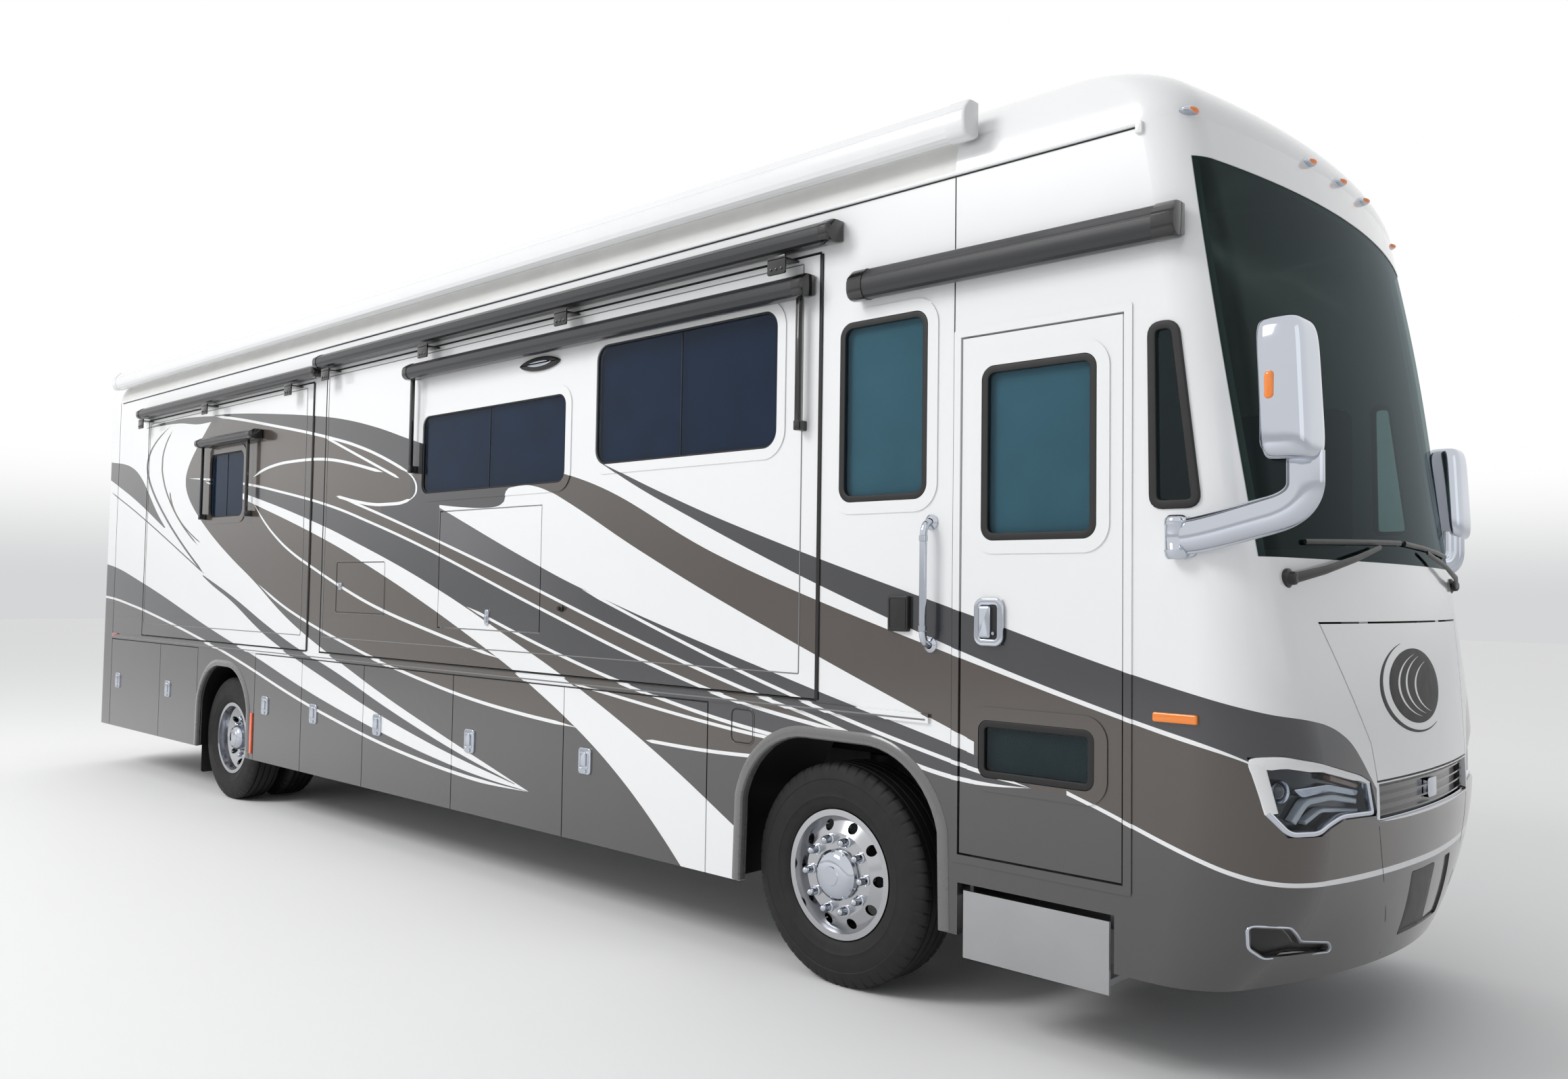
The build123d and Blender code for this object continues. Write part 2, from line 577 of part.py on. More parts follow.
def engine_door():
    """The rear lid over the engine, hinged along its top."""
    door = rounded(-ENGINE_DOOR_HALF + SEAM_GAP, ENGINE_DOOR_HALF - SEAM_GAP, ENGINE_DOOR_Z + SEAM_GAP,
                   ENGINE_DOOR_TOP_Z - SEAM_GAP, 55.0)
    leaf = along_x(door, TAIL_X, TAIL_X + WALL)
    for index in range(6):
        z = ENGINE_DOOR_TOP_Z - 180 - index * 60
        leaf -= along_x(rounded(-500, 500, z, z + 26, 12), TAIL_X - 10, TAIL_X + WALL + 10)
    return leaf


def windscreen():
    """The wrap-round windscreen, set just inside the cap's skin."""
    return (cap_solid(4) - cap_solid(4 + GLASS_THICK, CAP_SEAM_X - 10, 20)) & screen_prism(SEAT_GAP)


def cab_glass():
    """Fixed panes of the caps and walls."""
    panes = [window_glass(window, -BODY_HALF) for window in WINDOWS["wall_right"]]
    panes += [left_of(window_glass(window, -BODY_HALF)) for window in WINDOWS["wall_left"]]
    panes.append(left_of(window_glass(DRIVER_WINDOW, -BODY_HALF)))
    y0 = -BODY_HALF + GLASS_INSET
    quarter = along_y(offset(quarter_outline(), -SEAT_GAP), y0, y0 + GLASS_THICK)
    panes += [quarter, left_of(quarter)]
    return Compound(children=panes)


def hood():
    """The front access panel, hinged along its top."""
    return front_band(0, HOOD_THICK, offset(mirrored_outline(HOOD_OUTLINE), -SEAM_GAP, kind=Kind.INTERSECTION))


def grille():
    """The dark slatted intake between the headlights."""
    z0, z1 = GRILLE_Z - 6.0, GRILLE_TOP_Z + 6.0
    half = GRILLE_HALF - SEAT_GAP
    pitch = (z1 - z0) / GRILLE_SLATS
    pieces = [level_band(26.0, 38.0, z0, z1, half)]
    for index in range(GRILLE_SLATS):
        middle = z0 + (index + 0.5) * pitch
        pieces.append(level_band(6.0, 30.0, middle - 3.5, middle + 3.5, half))
    return fuse(pieces)


def headlights():
    """Both headlights: a proud trim ring round a recessed lens."""
    ring = offset(outline([(-y, z) for y, z in HEADLIGHT_OUTLINE]), -SEAT_GAP, kind=Kind.INTERSECTION)
    lens = offset(ring, -26.0, kind=Kind.INTERSECTION)
    z0, z1 = HEADLIGHT_Z
    housing = level_band(14.0, 70.0, z0, z1, BODY_HALF) & front_prism(ring)
    trim = level_band(-6.0, 20.0, z0, z1, BODY_HALF) & front_prism(ring - lens)
    right = housing + trim
    return Compound(children=[right, left_of(right)])


# Doors
def entry_door():
    """The entry door leaf with its two windows."""
    leaf = block(DOOR_REAR_X, DOOR_FRONT_X, -BODY_HALF, -BODY_HALF + DOOR_THICK, DOOR_Z, DOOR_TOP_Z)
    for window in (DOOR_WINDOW, KICK_WINDOW):
        leaf += window_bezel(window, -BODY_HALF)
        leaf -= window_hole(window, -BODY_HALF - 50, -BODY_HALF + DOOR_THICK + 50)
    latch_x = DOOR_REAR_X + 145.0
    leaf += block(latch_x - 65, latch_x + 65, -BODY_HALF - 12, -BODY_HALF + 5, 1640, 1830)
    return leaf


def entry_door_glass():
    return Compound(children=[window_glass(w, -BODY_HALF) for w in (DOOR_WINDOW, KICK_WINDOW)])


def entry_step():
    """The folded power step: a tread tray behind a flat face."""
    x0, x1 = STEP_X
    face = block(x0, x1, -BODY_HALF + 2, -BODY_HALF + 14, 320.0, STEP_TOP_Z - 20)
    tray = block(x0 + STEP_RIM, x1 - STEP_RIM, -BODY_HALF + 13, STEP_INNER_Y, STEP_TOP_Z - 60, STEP_TOP_Z - 30)
    low = block(x0 + STEP_RIM, x1 - STEP_RIM, -BODY_HALF + 13, -1050.0, 340.0, 365.0)
    return face + tray + low


def bay_door(rear, front, is_left):
    """A flat compartment door with a folded edge and its latch plate."""
    leaf = block(rear + SEAM_GAP / 2, front - SEAM_GAP / 2, -BODY_HALF, -BODY_HALF + WALL - BAY_DOOR_SET,
                 SKIRT_Z, BAY_TOP_Z)
    latch_x = rear + 215.0
    leaf += block(latch_x - 48, latch_x + 48, -BODY_HALF - 8, -BODY_HALF + 5, 800.0, 935.0)
    return side(leaf, is_left)


# Slide rooms
def slide_room(name):
    """A slide room: outer wall, floor, roof and end walls, open to the cabin."""
    x0, x1, top, depth = SLIDES[name]
    y0, y1 = -BODY_HALF, -BODY_HALF + depth
    room = block(x0, x1, y0, y1, SLIDE_Z, top)
    room -= block(x0 + SLIDE_SHELL, x1 - SLIDE_SHELL, y0 + SLIDE_SHELL, y1 + 10,
                  SLIDE_Z + SLIDE_SHELL, top - SLIDE_SHELL)
    for window in WINDOWS[name]:
        room += window_bezel(window, y0)
        room -= window_hole(window, y0 - 50, y0 + SLIDE_SHELL + 50)
    if name == "mid_right":
        lx0, lx1, lz0, lz1 = LOCKER
        room += block(lx0 - 15, lx1 + 15, y0 + 20, y0 + 330, lz0 - 15, lz1 + 15)
        room -= block(lx0, lx1, y0 - 10, y0 + LOCKER_DOOR_THICK + SEAT_GAP, lz0, lz1)
        room -= block(lx0 + 20, lx1 - 20, y0, y0 + 310, lz0 + 20, lz1 - 20)
    return side(room, name == "left")


def slide_glass(name):
    panes = [window_glass(window, -BODY_HALF) for window in WINDOWS[name]]
    return side(Compound(children=panes), name == "left")


def locker_door():
    x0, x1, z0, z1 = LOCKER
    return block(x0 + SEAM_GAP, x1 - SEAM_GAP, -BODY_HALF, -BODY_HALF + LOCKER_DOOR_THICK, z0 + SEAM_GAP,
                 z1 - SEAM_GAP)


# Awnings
def awning_case(x0, x1, z0, z1, y_back, depth, chamfer_size):
    """A cassette with a sloped underside and rounded front."""
    profile = outline(((-y_back, z0 + chamfer_size), (-y_back - depth * 0.55, z0), (-y_back - depth, z0 + chamfer_size),
                       (-y_back - depth, z1 - chamfer_size), (-y_back - depth * 0.6, z1), (-y_back, z1)))
    return along_x(profile, x0, x1)


def roof_awning():
    """The long white patio awning along the roof edge, on its brackets."""
    x0, x1 = TAIL_SEAM_X + 60, 4680.0
    z0, z1 = 3795.0, 3975.0
    case = awning_case(x0, x1, z0, z1, BODY_HALF + 2, 120.0, 30.0)
    for x in (x0 + 260, -3700.0, -1900.0, -100.0, 1700.0, 3500.0):
        case += block(x - 30, x + 30, -BODY_HALF - 10, -BODY_HALF + 90, z0 + 25, z0 + 60)
    return case - roof_form()


def awning_cases():
    """Dark cassettes fixed to the body: two slide toppers and the door awning."""
    cases = [
        awning_case(SLIDES["rear_right"][0] - 60, -1310.0, 3440.0, 3550.0, BODY_HALF, 120.0, 20.0),
        awning_case(-1305.0, 3920.0, 3492.0, 3610.0, BODY_HALF, 130.0, 20.0),
        awning_case(4020.0, 5610.0, 3190.0, 3340.0, BODY_HALF, 110.0, 30.0),
    ]
    return Compound(children=cases)


def window_awning(x0, x1, z0, z1, arm_x, arm_z):
    """A cassette over a window with two folded arms."""
    awning = awning_case(x0, x1, z0, z1, BODY_HALF + BEZEL_RISE + SEAT_GAP, 120.0, 25.0)
    for x in arm_x:
        awning += block(x - 14, x + 14, -BODY_HALF - 60, -BODY_HALF - 36, arm_z, z0 + 40)
        awning += block(x - 18, x + 18, -BODY_HALF - 62, -BODY_HALF - SEAT_GAP, arm_z - 25, arm_z + 25)
    return awning


# Running gear
def ring_of(count, radius):
    """Evenly spaced points on a circle in the wheel plane."""
    return [(radius * cos(2 * pi * i / count), radius * sin(2 * pi * i / count)) for i in range(count)]


def turned(profile_points):
    """A solid turned about the axle line from (distance outwards, radius) corners, axle along -Y."""
    face = make_face(Polyline(*[(r, -u) for u, r in profile_points], close=True))
    return revolve(face, axis=Axis.Y)


def tyre(width):
    """A road tyre: flat tread, round shoulders and bulged sidewalls down to the bead."""
    half = width / 2
    shoulder = 40.0
    bead = half - FLANGE_SET - 12.0 - SEAT_GAP
    face = make_face(Curve() + [
        Line((TYRE_R, -half + shoulder), (TYRE_R, half - shoulder)),
        ThreePointArc((TYRE_R, half - shoulder), (TYRE_R - 14, half - 12), (TYRE_R - 60, half - 4)),
        ThreePointArc((TYRE_R - 60, half - 4), (TYRE_R - 120, half), (RIM_FLANGE_R + 8, half - 22)),
        Line((RIM_FLANGE_R + 8, half - 22), (RIM_FLANGE_R + 2, bead)),
        Line((RIM_FLANGE_R + 2, bead), (RIM_R + SEAT_GAP, bead)),
        Line((RIM_R + SEAT_GAP, bead), (RIM_R + SEAT_GAP, -bead)),
        Line((RIM_R + SEAT_GAP, -bead), (RIM_FLANGE_R + 2, -bead)),
        Line((RIM_FLANGE_R + 2, -bead), (RIM_FLANGE_R + 8, -half + 22)),
        ThreePointArc((RIM_FLANGE_R + 8, -half + 22), (TYRE_R - 120, -half), (TYRE_R - 60, -half + 4)),
        ThreePointArc((TYRE_R - 60, -half + 4), (TYRE_R - 14, -half + 12), (TYRE_R, -half + shoulder)),
    ])
    return revolve(face, axis=Axis.Y)


def barrel(width):
    """A rim's barrel with its two flanges, centred on the tyre."""
    half = width / 2 - FLANGE_SET
    wall = 12.0
    return turned(((-half, RIM_R - wall), (-half, RIM_FLANGE_R), (-half + 9, RIM_FLANGE_R), (-half + 12, RIM_R),
                   (half - 12, RIM_R), (half - 9, RIM_FLANGE_R), (half, RIM_FLANGE_R), (half, RIM_R - wall)))


def disc_wheel(width, disc_u, hub_in, hub_out, dish):
    """Barrel, disc with ten hand holes, hub and ten nuts. Distances run outwards from the tyre centre."""
    wheel = barrel(width)
    inner = RIM_R - 8.0
    bolt_r = 167.5
    wheel += turned(((disc_u, 60.0), (disc_u, 195.0), (disc_u - dish, inner), (disc_u - dish - 16, inner),
                     (disc_u - 18, 190.0), (disc_u - 18, 60.0)))
    for x, z in ring_of(10, 232.0):
        wheel -= rod(26.0, (x, 200, z), (x, -300, z))
    wheel += turned(((hub_in, SPINDLE_R + RUNNING_GAP), (hub_in, 120.0), (disc_u - 10, 120.0),
                     (disc_u + 22, 112.0), (hub_out - 30, 96.0), (hub_out, 70.0), (hub_out, 0.0),
                     (hub_out - 20, 0.0), (hub_out - 20, SPINDLE_R + RUNNING_GAP)))
    for x, z in ring_of(10, bolt_r):
        wheel += rod(17.0, (x, -disc_u + 5, z), (x, -disc_u - 42, z))
    return wheel


def front_wheel_rim():
    return disc_wheel(TYRE_WIDTH, 118.0, 20.0, 165.0, 40.0)


def dual_rims():
    """The outer and inner rims of a twin wheel on one hub."""
    outer = disc_wheel(DUAL_TYRE_WIDTH, -20.0, -200.0, 105.0, -60.0)
    inner = Pos(0, DUAL_PITCH, 0) * barrel(DUAL_TYRE_WIDTH)
    web = turned(((-38.0, 60.0), (-38.0, 190.0), (-232.0, RIM_R - 8), (-250.0, RIM_R - 8), (-56.0, 190.0),
                  (-56.0, 60.0)))
    drum = turned(((-200.0, SPINDLE_R + RUNNING_GAP), (-200.0, 205.0), (-60.0, 205.0), (-60.0, 60.0),
                   (-40.0, 60.0), (-40.0, SPINDLE_R + RUNNING_GAP)))
    return outer + inner + web + drum


def dual_tyres():
    one = tyre(DUAL_TYRE_WIDTH)
    return Compound(children=[one, Pos(0, DUAL_PITCH, 0) * one])


def front_axle():
    """A dropped beam with kingpin eyes, saddles and air springs."""
    x, z = FRONT_AXLE_X, TYRE_R
    beam = block(x - 55, x + 55, -KINGPIN_Y, KINGPIN_Y, z - 75, z + 15)
    for y in (-KINGPIN_Y, KINGPIN_Y):
        beam += rod(52.0, (x, y, z - 75), (x, y, z + 65))
        beam -= rod(20.0 + RUNNING_GAP, (x, y, z - 100), (x, y, z + 100))
    for y in (-RAIL_Y, RAIL_Y):
        beam += block(x - 390, x + 390, y - 45, y + 45, z - 20, z + 20)
        for dx in (-310, 310):
            beam += rod(92.0, (x + dx, y, z + 18), (x + dx, y, RAIL_TOP_Z - RAIL_HEIGHT))
    return beam


def rear_axle():
    """A drive axle: banjo housing, tubes, spindles, saddles, air springs and the drive shaft."""
    x, z = REAR_AXLE_X, TYRE_R
    axle = rod(90.0, (x, -560, z), (x, 560, z))
    axle += Pos(x, 0, z) * Sphere(200.0)
    for s in (-1, 1):
        axle += rod(SPINDLE_R, (x, s * 550, z), (x, s * (DUAL_OUTER_Y + 60), z))
        axle += block(x - 480, x + 480, s * RAIL_Y - 50, s * RAIL_Y + 50, z - 130, z - 85)
        for dx in (-400, 400):
            axle += rod(120.0, (x + dx, s * RAIL_Y, z - 90), (x + dx, s * RAIL_Y, RAIL_TOP_Z - RAIL_HEIGHT))
    axle += rod(60.0, (x - 150, 0, z + 20), (x - 620, 0, z + 120))
    return axle


def knuckle():
    """The right steering knuckle: two ears on the kingpin, a plate and the wheel spindle."""
    x, y, z = FRONT_AXLE_X, -KINGPIN_Y, TYRE_R
    body = rod(20.0, (x, y, z - 110), (x, y, z + 100))
    body += rod(48.0, (x, y, z + 66), (x, y, z + 100)) + rod(48.0, (x, y, z - 110), (x, y, z - 76))
    body += block(x - 48, x + 48, y - 100, y, z + 66, z + 100)
    body += block(x - 48, x + 48, y - 100, y, z - 110, z - 76)
    body += block(x - 60, x + 60, y - 110, y - 72, z - 110, z + 100)
    body += rod(SPINDLE_R, (x, y - 90, z), (x, -FRONT_TRACK_Y - 140, z))
    body += rod(18.0, (x - 40, y - 60, z - 93), (x - 210, y + 30, z - 93))
    return body


def engine():
    """The rear engine and its gearbox as one plain block."""
    inside = RAIL_Y - RAIL_WIDTH / 2
    x0, x1 = TAIL_X + 390.0, TAIL_X + 1550.0
    mass = block(x0, x1, -inside + 10, inside - 10, 560, 1180) + rod(230.0, (x1 - 10, 0, 800), (x1 + 570, 0, 760))
    for x in (x0 + 340, x1 - 240):
        mass += block(x - 60, x + 60, -inside + SEAT_GAP, inside - SEAT_GAP, 1020, 1100)
    return mass


# Cab
def column_point(distance):
    """A point down the steering column's axis from the wheel's centre."""
    return (WHEEL_CENTRE[0] + 0.55 * distance, WHEEL_CENTRE[1], WHEEL_CENTRE[2] - 0.835 * distance)


def dashboard():
    """The full-width dash under the windscreen."""
    half = BODY_HALF - WALL - 60
    profile = outline(((5330.0, 1700.0), (5480.0, 1880.0), (5800.0, 1930.0), (5830.0, 1700.0), (5545.0, 1500.0),
                       (5545.0, FLOOR_Z), (5480.0, FLOOR_Z), (5450.0, 1600.0)))
    dash = along_y(profile, -520.0, half - 60)
    return dash + rod(60.0, column_point(COLUMN_LENGTH), column_point(COLUMN_LENGTH + 120))


def steering_wheel():
    """Rim, spokes and column of the driver's wheel."""
    tilt = Plane(WHEEL_CENTRE, z_dir=(-0.55, 0, 0.835))
    wheel = tilt * Torus(215.0, 15.0)
    wheel += tilt * Cylinder(45.0, 36.0)
    for angle in (90, 210, 330):
        spoke = Pos(107.0 * cos(radians(angle)), 107.0 * sin(radians(angle)), 0) * Rot(0, 0, angle) * Box(
            206.0, 26.0, 10.0)
        wheel += tilt * spoke
    return wheel + rod(28.0, WHEEL_CENTRE, column_point(COLUMN_LENGTH - SEAT_GAP))


def cab_seats():
    """Driver's and passenger's seats on pedestals."""
    seats = []
    for y in (560.0, -420.0):
        seat = block(4720.0, 5020.0, y - 150, y + 150, FLOOR_Z, 1520.0)
        seat += block(4600.0, 5120.0, y - 270, y + 270, 1500.0, 1640.0)
        back = outline(((4640.0, 1630.0), (4780.0, 1630.0), (4640.0, 2380.0), (4520.0, 2380.0)))
        seat += along_y(back, y - 250, y + 250)
        for s in (-1, 1):
            seat += block(4660.0, 5050.0, y + s * 300 - 32, y + s * 300 + 32, 1800.0, 1860.0)
            seat += block(4660.0, 4760.0, y + s * 300 - 40, y + s * 300 - 0 if s > 0 else y + s * 300 + 40,
                          1560.0, 1810.0)
        seats.append(seat)
    return Compound(children=seats)


# Outside fittings
def door_mirror(front_x, head_z):
    """A door mirror: a clamp on the pillar, a deep bent arm and a rounded shell with its glass set in behind."""
    post_x, post_y = front_x - 70.0, -BODY_HALF - 147.5
    path = FilletPolyline((5600.0, -BODY_HALF - 17.5, 2072.0), (5700.0, -BODY_HALF - 47.5, 2080.0),
                          (post_x, post_y, head_z - 140.0),
                          (post_x, post_y, head_z + 30.0), radius=75.0)
    arm = sweep(Plane(path @ 0, x_dir=(0, 0, 1), z_dir=path % 0) * Ellipse(70.0, 42.0), path=path)
    clamp = block(5545.0, 5660.0, -BODY_HALF - 62.5, -BODY_HALF + 40, 1995.0, 2150.0)
    clamp = fillet(clamp.edges().filter_by(Axis.Z), 20.0)
    low, high = head_z, head_z + MIRROR_HEIGHT
    shell = block(front_x - MIRROR_DEPTH, front_x, MIRROR_OUT_Y, MIRROR_OUT_Y + MIRROR_WIDTH, low, high)
    front_edges = [e for e in shell.edges() if e.center().X > front_x - 1]
    shell = fillet([e for e in front_edges if abs(e.center().Z - (low + high) / 2) < 1], 58.0)
    shell = fillet([e for e in shell.edges() if e.center().Z > high - 1 or e.center().Z < low + 1], 26.0)
    rear_x = front_x - MIRROR_DEPTH
    shell -= block(rear_x - 5, rear_x + 12, MIRROR_OUT_Y + 22, MIRROR_OUT_Y + MIRROR_WIDTH - 22, low + 24, high - 24)
    return arm + clamp + shell - cap_solid(-SEAT_GAP)


def mirror_set():
    """Both door mirrors. The left one is set further back and lower."""
    return Compound(children=[door_mirror(-TAIL_X, 2305.0), left_of(door_mirror(-TAIL_X - 290, 2175.0))])


def tail_lamp(sign, extra):
    """A tail lamp's block, or its pocket in the rear cap when extra is the clearance."""
    y, half, low, high = TAIL_LAMP
    return block(TAIL_X - 20 * extra, TAIL_X + TAIL_LAMP_DEPTH + extra, sign * y - half - extra,
                 sign * y + half + extra, low - extra, high + extra)


def lamps():
    """Amber roof and side markers and red tail lamps."""
    lamp_list = []
    corner_y = BODY_HALF - 87.5
    for y in (-corner_y, -340.0, 0.0, 340.0, corner_y):
        x = NOSE_X - 375.0 - (155.0 if abs(y) == corner_y else 10.0)
        lamp_list.append(block(x, x + 60, y - 45, y + 45, 3700.0, 3735.0) - cap_solid(-SEAT_GAP))
    for s in (-1, 1):
        lamp_list.append(side(block(5482.0, 5661.0, -BODY_HALF - 14.5, -BODY_HALF - SEAT_GAP, 1380.0, 1420.0), s > 0))
        lamp_list.append(tail_lamp(s, 0.0))
    return Compound(children=lamp_list)


def wipers():
    """Two parked wipers on the cowl."""
    arm = outline(((-1075.0, 1915.0), (-1045.0, 1910.0), (-320.0, 2052.0), (-320.0, 2074.0), (-1065.0, 1945.0)))
    blade = outline(((-900.0, 2085.0), (-900.0, 2070.0), (30.0, 2090.0), (30.0, 2105.0)))
    link = outline(((-420.0, 2045.0), (-390.0, 2045.0), (-390.0, 2095.0), (-420.0, 2095.0)))
    right = front_band(-16.0, -SEAT_GAP, arm + blade + link)
    return right


def roof_units():
    """Air conditioners and vents on the roof."""
    units = []
    base_z = EAVE_Z + ROOF_EDGE_R
    for x in (-3600.0, 100.0, 3300.0):
        unit = block(x - 480, x + 480, -340, 340, base_z, base_z + 175)
        unit = fillet(unit.edges().filter_by(Axis.Z), 90.0)
        units.append(unit - roof_form())
    return Compound(children=units)


def build():
    """Make every node."""
    parts = {
        "chassis_frame": chassis_frame(),
        "body_floor": body_floor(),
        "step_well": step_well(),
        "wall_right": side_wall(False),
        "wall_left": side_wall(True),
        "roof": roof(),
        "front_cap": front_cap(),
        "rear_cap": rear_cap(),
        "windscreen": windscreen(),
        "cab_glass": cab_glass(),
        "roof_awning": roof_awning(),
        "roof_units": roof_units(),
        "awning_cases": awning_cases(),
        "mirrors": mirror_set(),
        "headlights": headlights(),
        "grille": grille(),
        "lamps": lamps(),
        "wipers": wipers(),
        "front_axle": front_axle(),
        "rear_axle": rear_axle(),
        "engine": engine(),
        "dashboard": dashboard(),
        "cab_seats": cab_seats(),
        "steering_wheel": steering_wheel(),
        "hood": hood(),
        "engine_door": engine_door(),
        "entry_door": entry_door(),
        "entry_door_glass": entry_door_glass(),
        "entry_step": entry_step(),
        "locker_door": locker_door(),
        "window_awning_rear": window_awning(-3560.0, -2400.0, 3050.0, 3140.0, (-3544.0, -2590.0), 2440.0),
        "window_awning_mid": window_awning(40.0, 3750.0, 3260.0, 3380.0, (70.0, 3680.0), 2650.0),
    }
    for name in SLIDES:
        parts[f"slide_{name}"] = slide_room(name)
        parts[f"slide_{name}_glass"] = slide_glass(name)
    for number, (rear, front) in enumerate(RIGHT_BAYS, 1):
        parts[f"bay_door_right_{number}"] = bay_door(rear, front, False)
    for number, (rear, front) in enumerate(LEFT_BAYS, 1):
        parts[f"bay_door_left_{number}"] = bay_door(rear, front, True)
    front_rim, front_tyre, rear_rims, rear_tyres = front_wheel_rim(), tyre(TYRE_WIDTH), dual_rims(), dual_tyres()
    front_place = Pos(FRONT_AXLE_X, -FRONT_TRACK_Y, TYRE_R)
    rear_place = Pos(REAR_AXLE_X, -DUAL_OUTER_Y, TYRE_R)
    for hand in ("right", "left"):
        is_left = hand == "left"
        parts[f"rim_front_{hand}"] = side(front_place * front_rim, is_left)
        parts[f"tyre_front_{hand}"] = side(front_place * front_tyre, is_left)
        parts[f"rims_rear_{hand}"] = side(rear_place * rear_rims, is_left)
        parts[f"tyres_rear_{hand}"] = side(rear_place * rear_tyres, is_left)
        parts[f"knuckle_{hand}"] = side(knuckle(), is_left)
    return parts


os.makedirs("parts", exist_ok=True)
for node, shape in build().items():
    export_step(shape, f"parts/{node}.step")
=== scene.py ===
"""Looks of the motorhome: finishes, livery, small fittings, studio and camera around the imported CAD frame."""

import json
import logging
import math
from collections.abc import Callable, Sequence
from dataclasses import dataclass
from enum import Enum

import bmesh
import bpy
import numpy as np
from mathutils import Matrix, Vector
from mathutils.bvhtree import BVHTree
from mathutils.geometry import delaunay_2d_cdt

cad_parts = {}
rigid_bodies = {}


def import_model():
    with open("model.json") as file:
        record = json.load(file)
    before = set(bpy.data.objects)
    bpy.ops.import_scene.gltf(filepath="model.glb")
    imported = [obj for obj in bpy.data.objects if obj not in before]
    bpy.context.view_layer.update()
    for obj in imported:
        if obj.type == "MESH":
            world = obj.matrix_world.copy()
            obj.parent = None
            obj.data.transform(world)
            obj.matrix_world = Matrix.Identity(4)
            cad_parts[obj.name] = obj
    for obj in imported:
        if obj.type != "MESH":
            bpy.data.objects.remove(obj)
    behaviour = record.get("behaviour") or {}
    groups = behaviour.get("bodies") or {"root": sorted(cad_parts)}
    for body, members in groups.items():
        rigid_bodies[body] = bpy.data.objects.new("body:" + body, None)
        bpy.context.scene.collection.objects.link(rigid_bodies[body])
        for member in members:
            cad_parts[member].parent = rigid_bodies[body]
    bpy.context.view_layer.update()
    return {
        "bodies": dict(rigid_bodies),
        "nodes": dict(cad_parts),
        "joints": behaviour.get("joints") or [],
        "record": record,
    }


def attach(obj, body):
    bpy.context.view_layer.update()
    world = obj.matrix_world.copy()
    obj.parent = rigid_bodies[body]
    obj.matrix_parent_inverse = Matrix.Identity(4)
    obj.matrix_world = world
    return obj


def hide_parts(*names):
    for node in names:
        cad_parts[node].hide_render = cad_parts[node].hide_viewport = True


logging.basicConfig(level=logging.INFO, format="%(levelname)s %(message)s")
LOG = logging.getLogger("motorhome")

Point = tuple[float, float]
Curve = tuple[Point, ...]
Spot = tuple[float, float, float]
Colour = Spot
Socket = bpy.types.NodeSocket
Fed = Socket | float | Colour

HALF_WIDTH = 1.2825
NOSE_X = 6.105
TAIL_X = -6.17
AXLE_HEIGHT = 0.52
ROOT = "coach_body"
SIDES = (-1.0, 1.0)
PANEL_FADE = 0.02
LIVERY_TOP = 4.0
NOSE_TURN = 4.5
TAIL_TURN = -5.8
ALONG_FROM = -6.0
ALONG_SPAN = 8.0
TAPER_SHARE = 0.1


def linear(red: int, green: int, blue: int) -> Colour:
    """Turns an 8-bit display colour into the linear light that shaders use.

    Args:
        red: Display red, 0 to 255.
        green: Display green, 0 to 255.
        blue: Display blue, 0 to 255.

    Returns:
        The three linear values, 0 to 1.
    """
    out = []
    for value in (red, green, blue):
        share = value / 255.0
        out.append(share / 12.92 if share <= 0.04045 else ((share + 0.055) / 1.055) ** 2.4)
    return (out[0], out[1], out[2])


class Paint(Enum):
    """The coach paints of the livery, and a lighter grey that is painted sheen on the charcoal."""

    WHITE = linear(238, 239, 240)
    CHARCOAL = linear(48, 49, 53)
    TAUPE = linear(70, 62, 56)
    WARM_GREY = linear(66, 64, 65)
    # Painted sheen on the charcoal, not a paint of its own.
    PAINTED_SHEEN_GREY = linear(84, 84, 87)


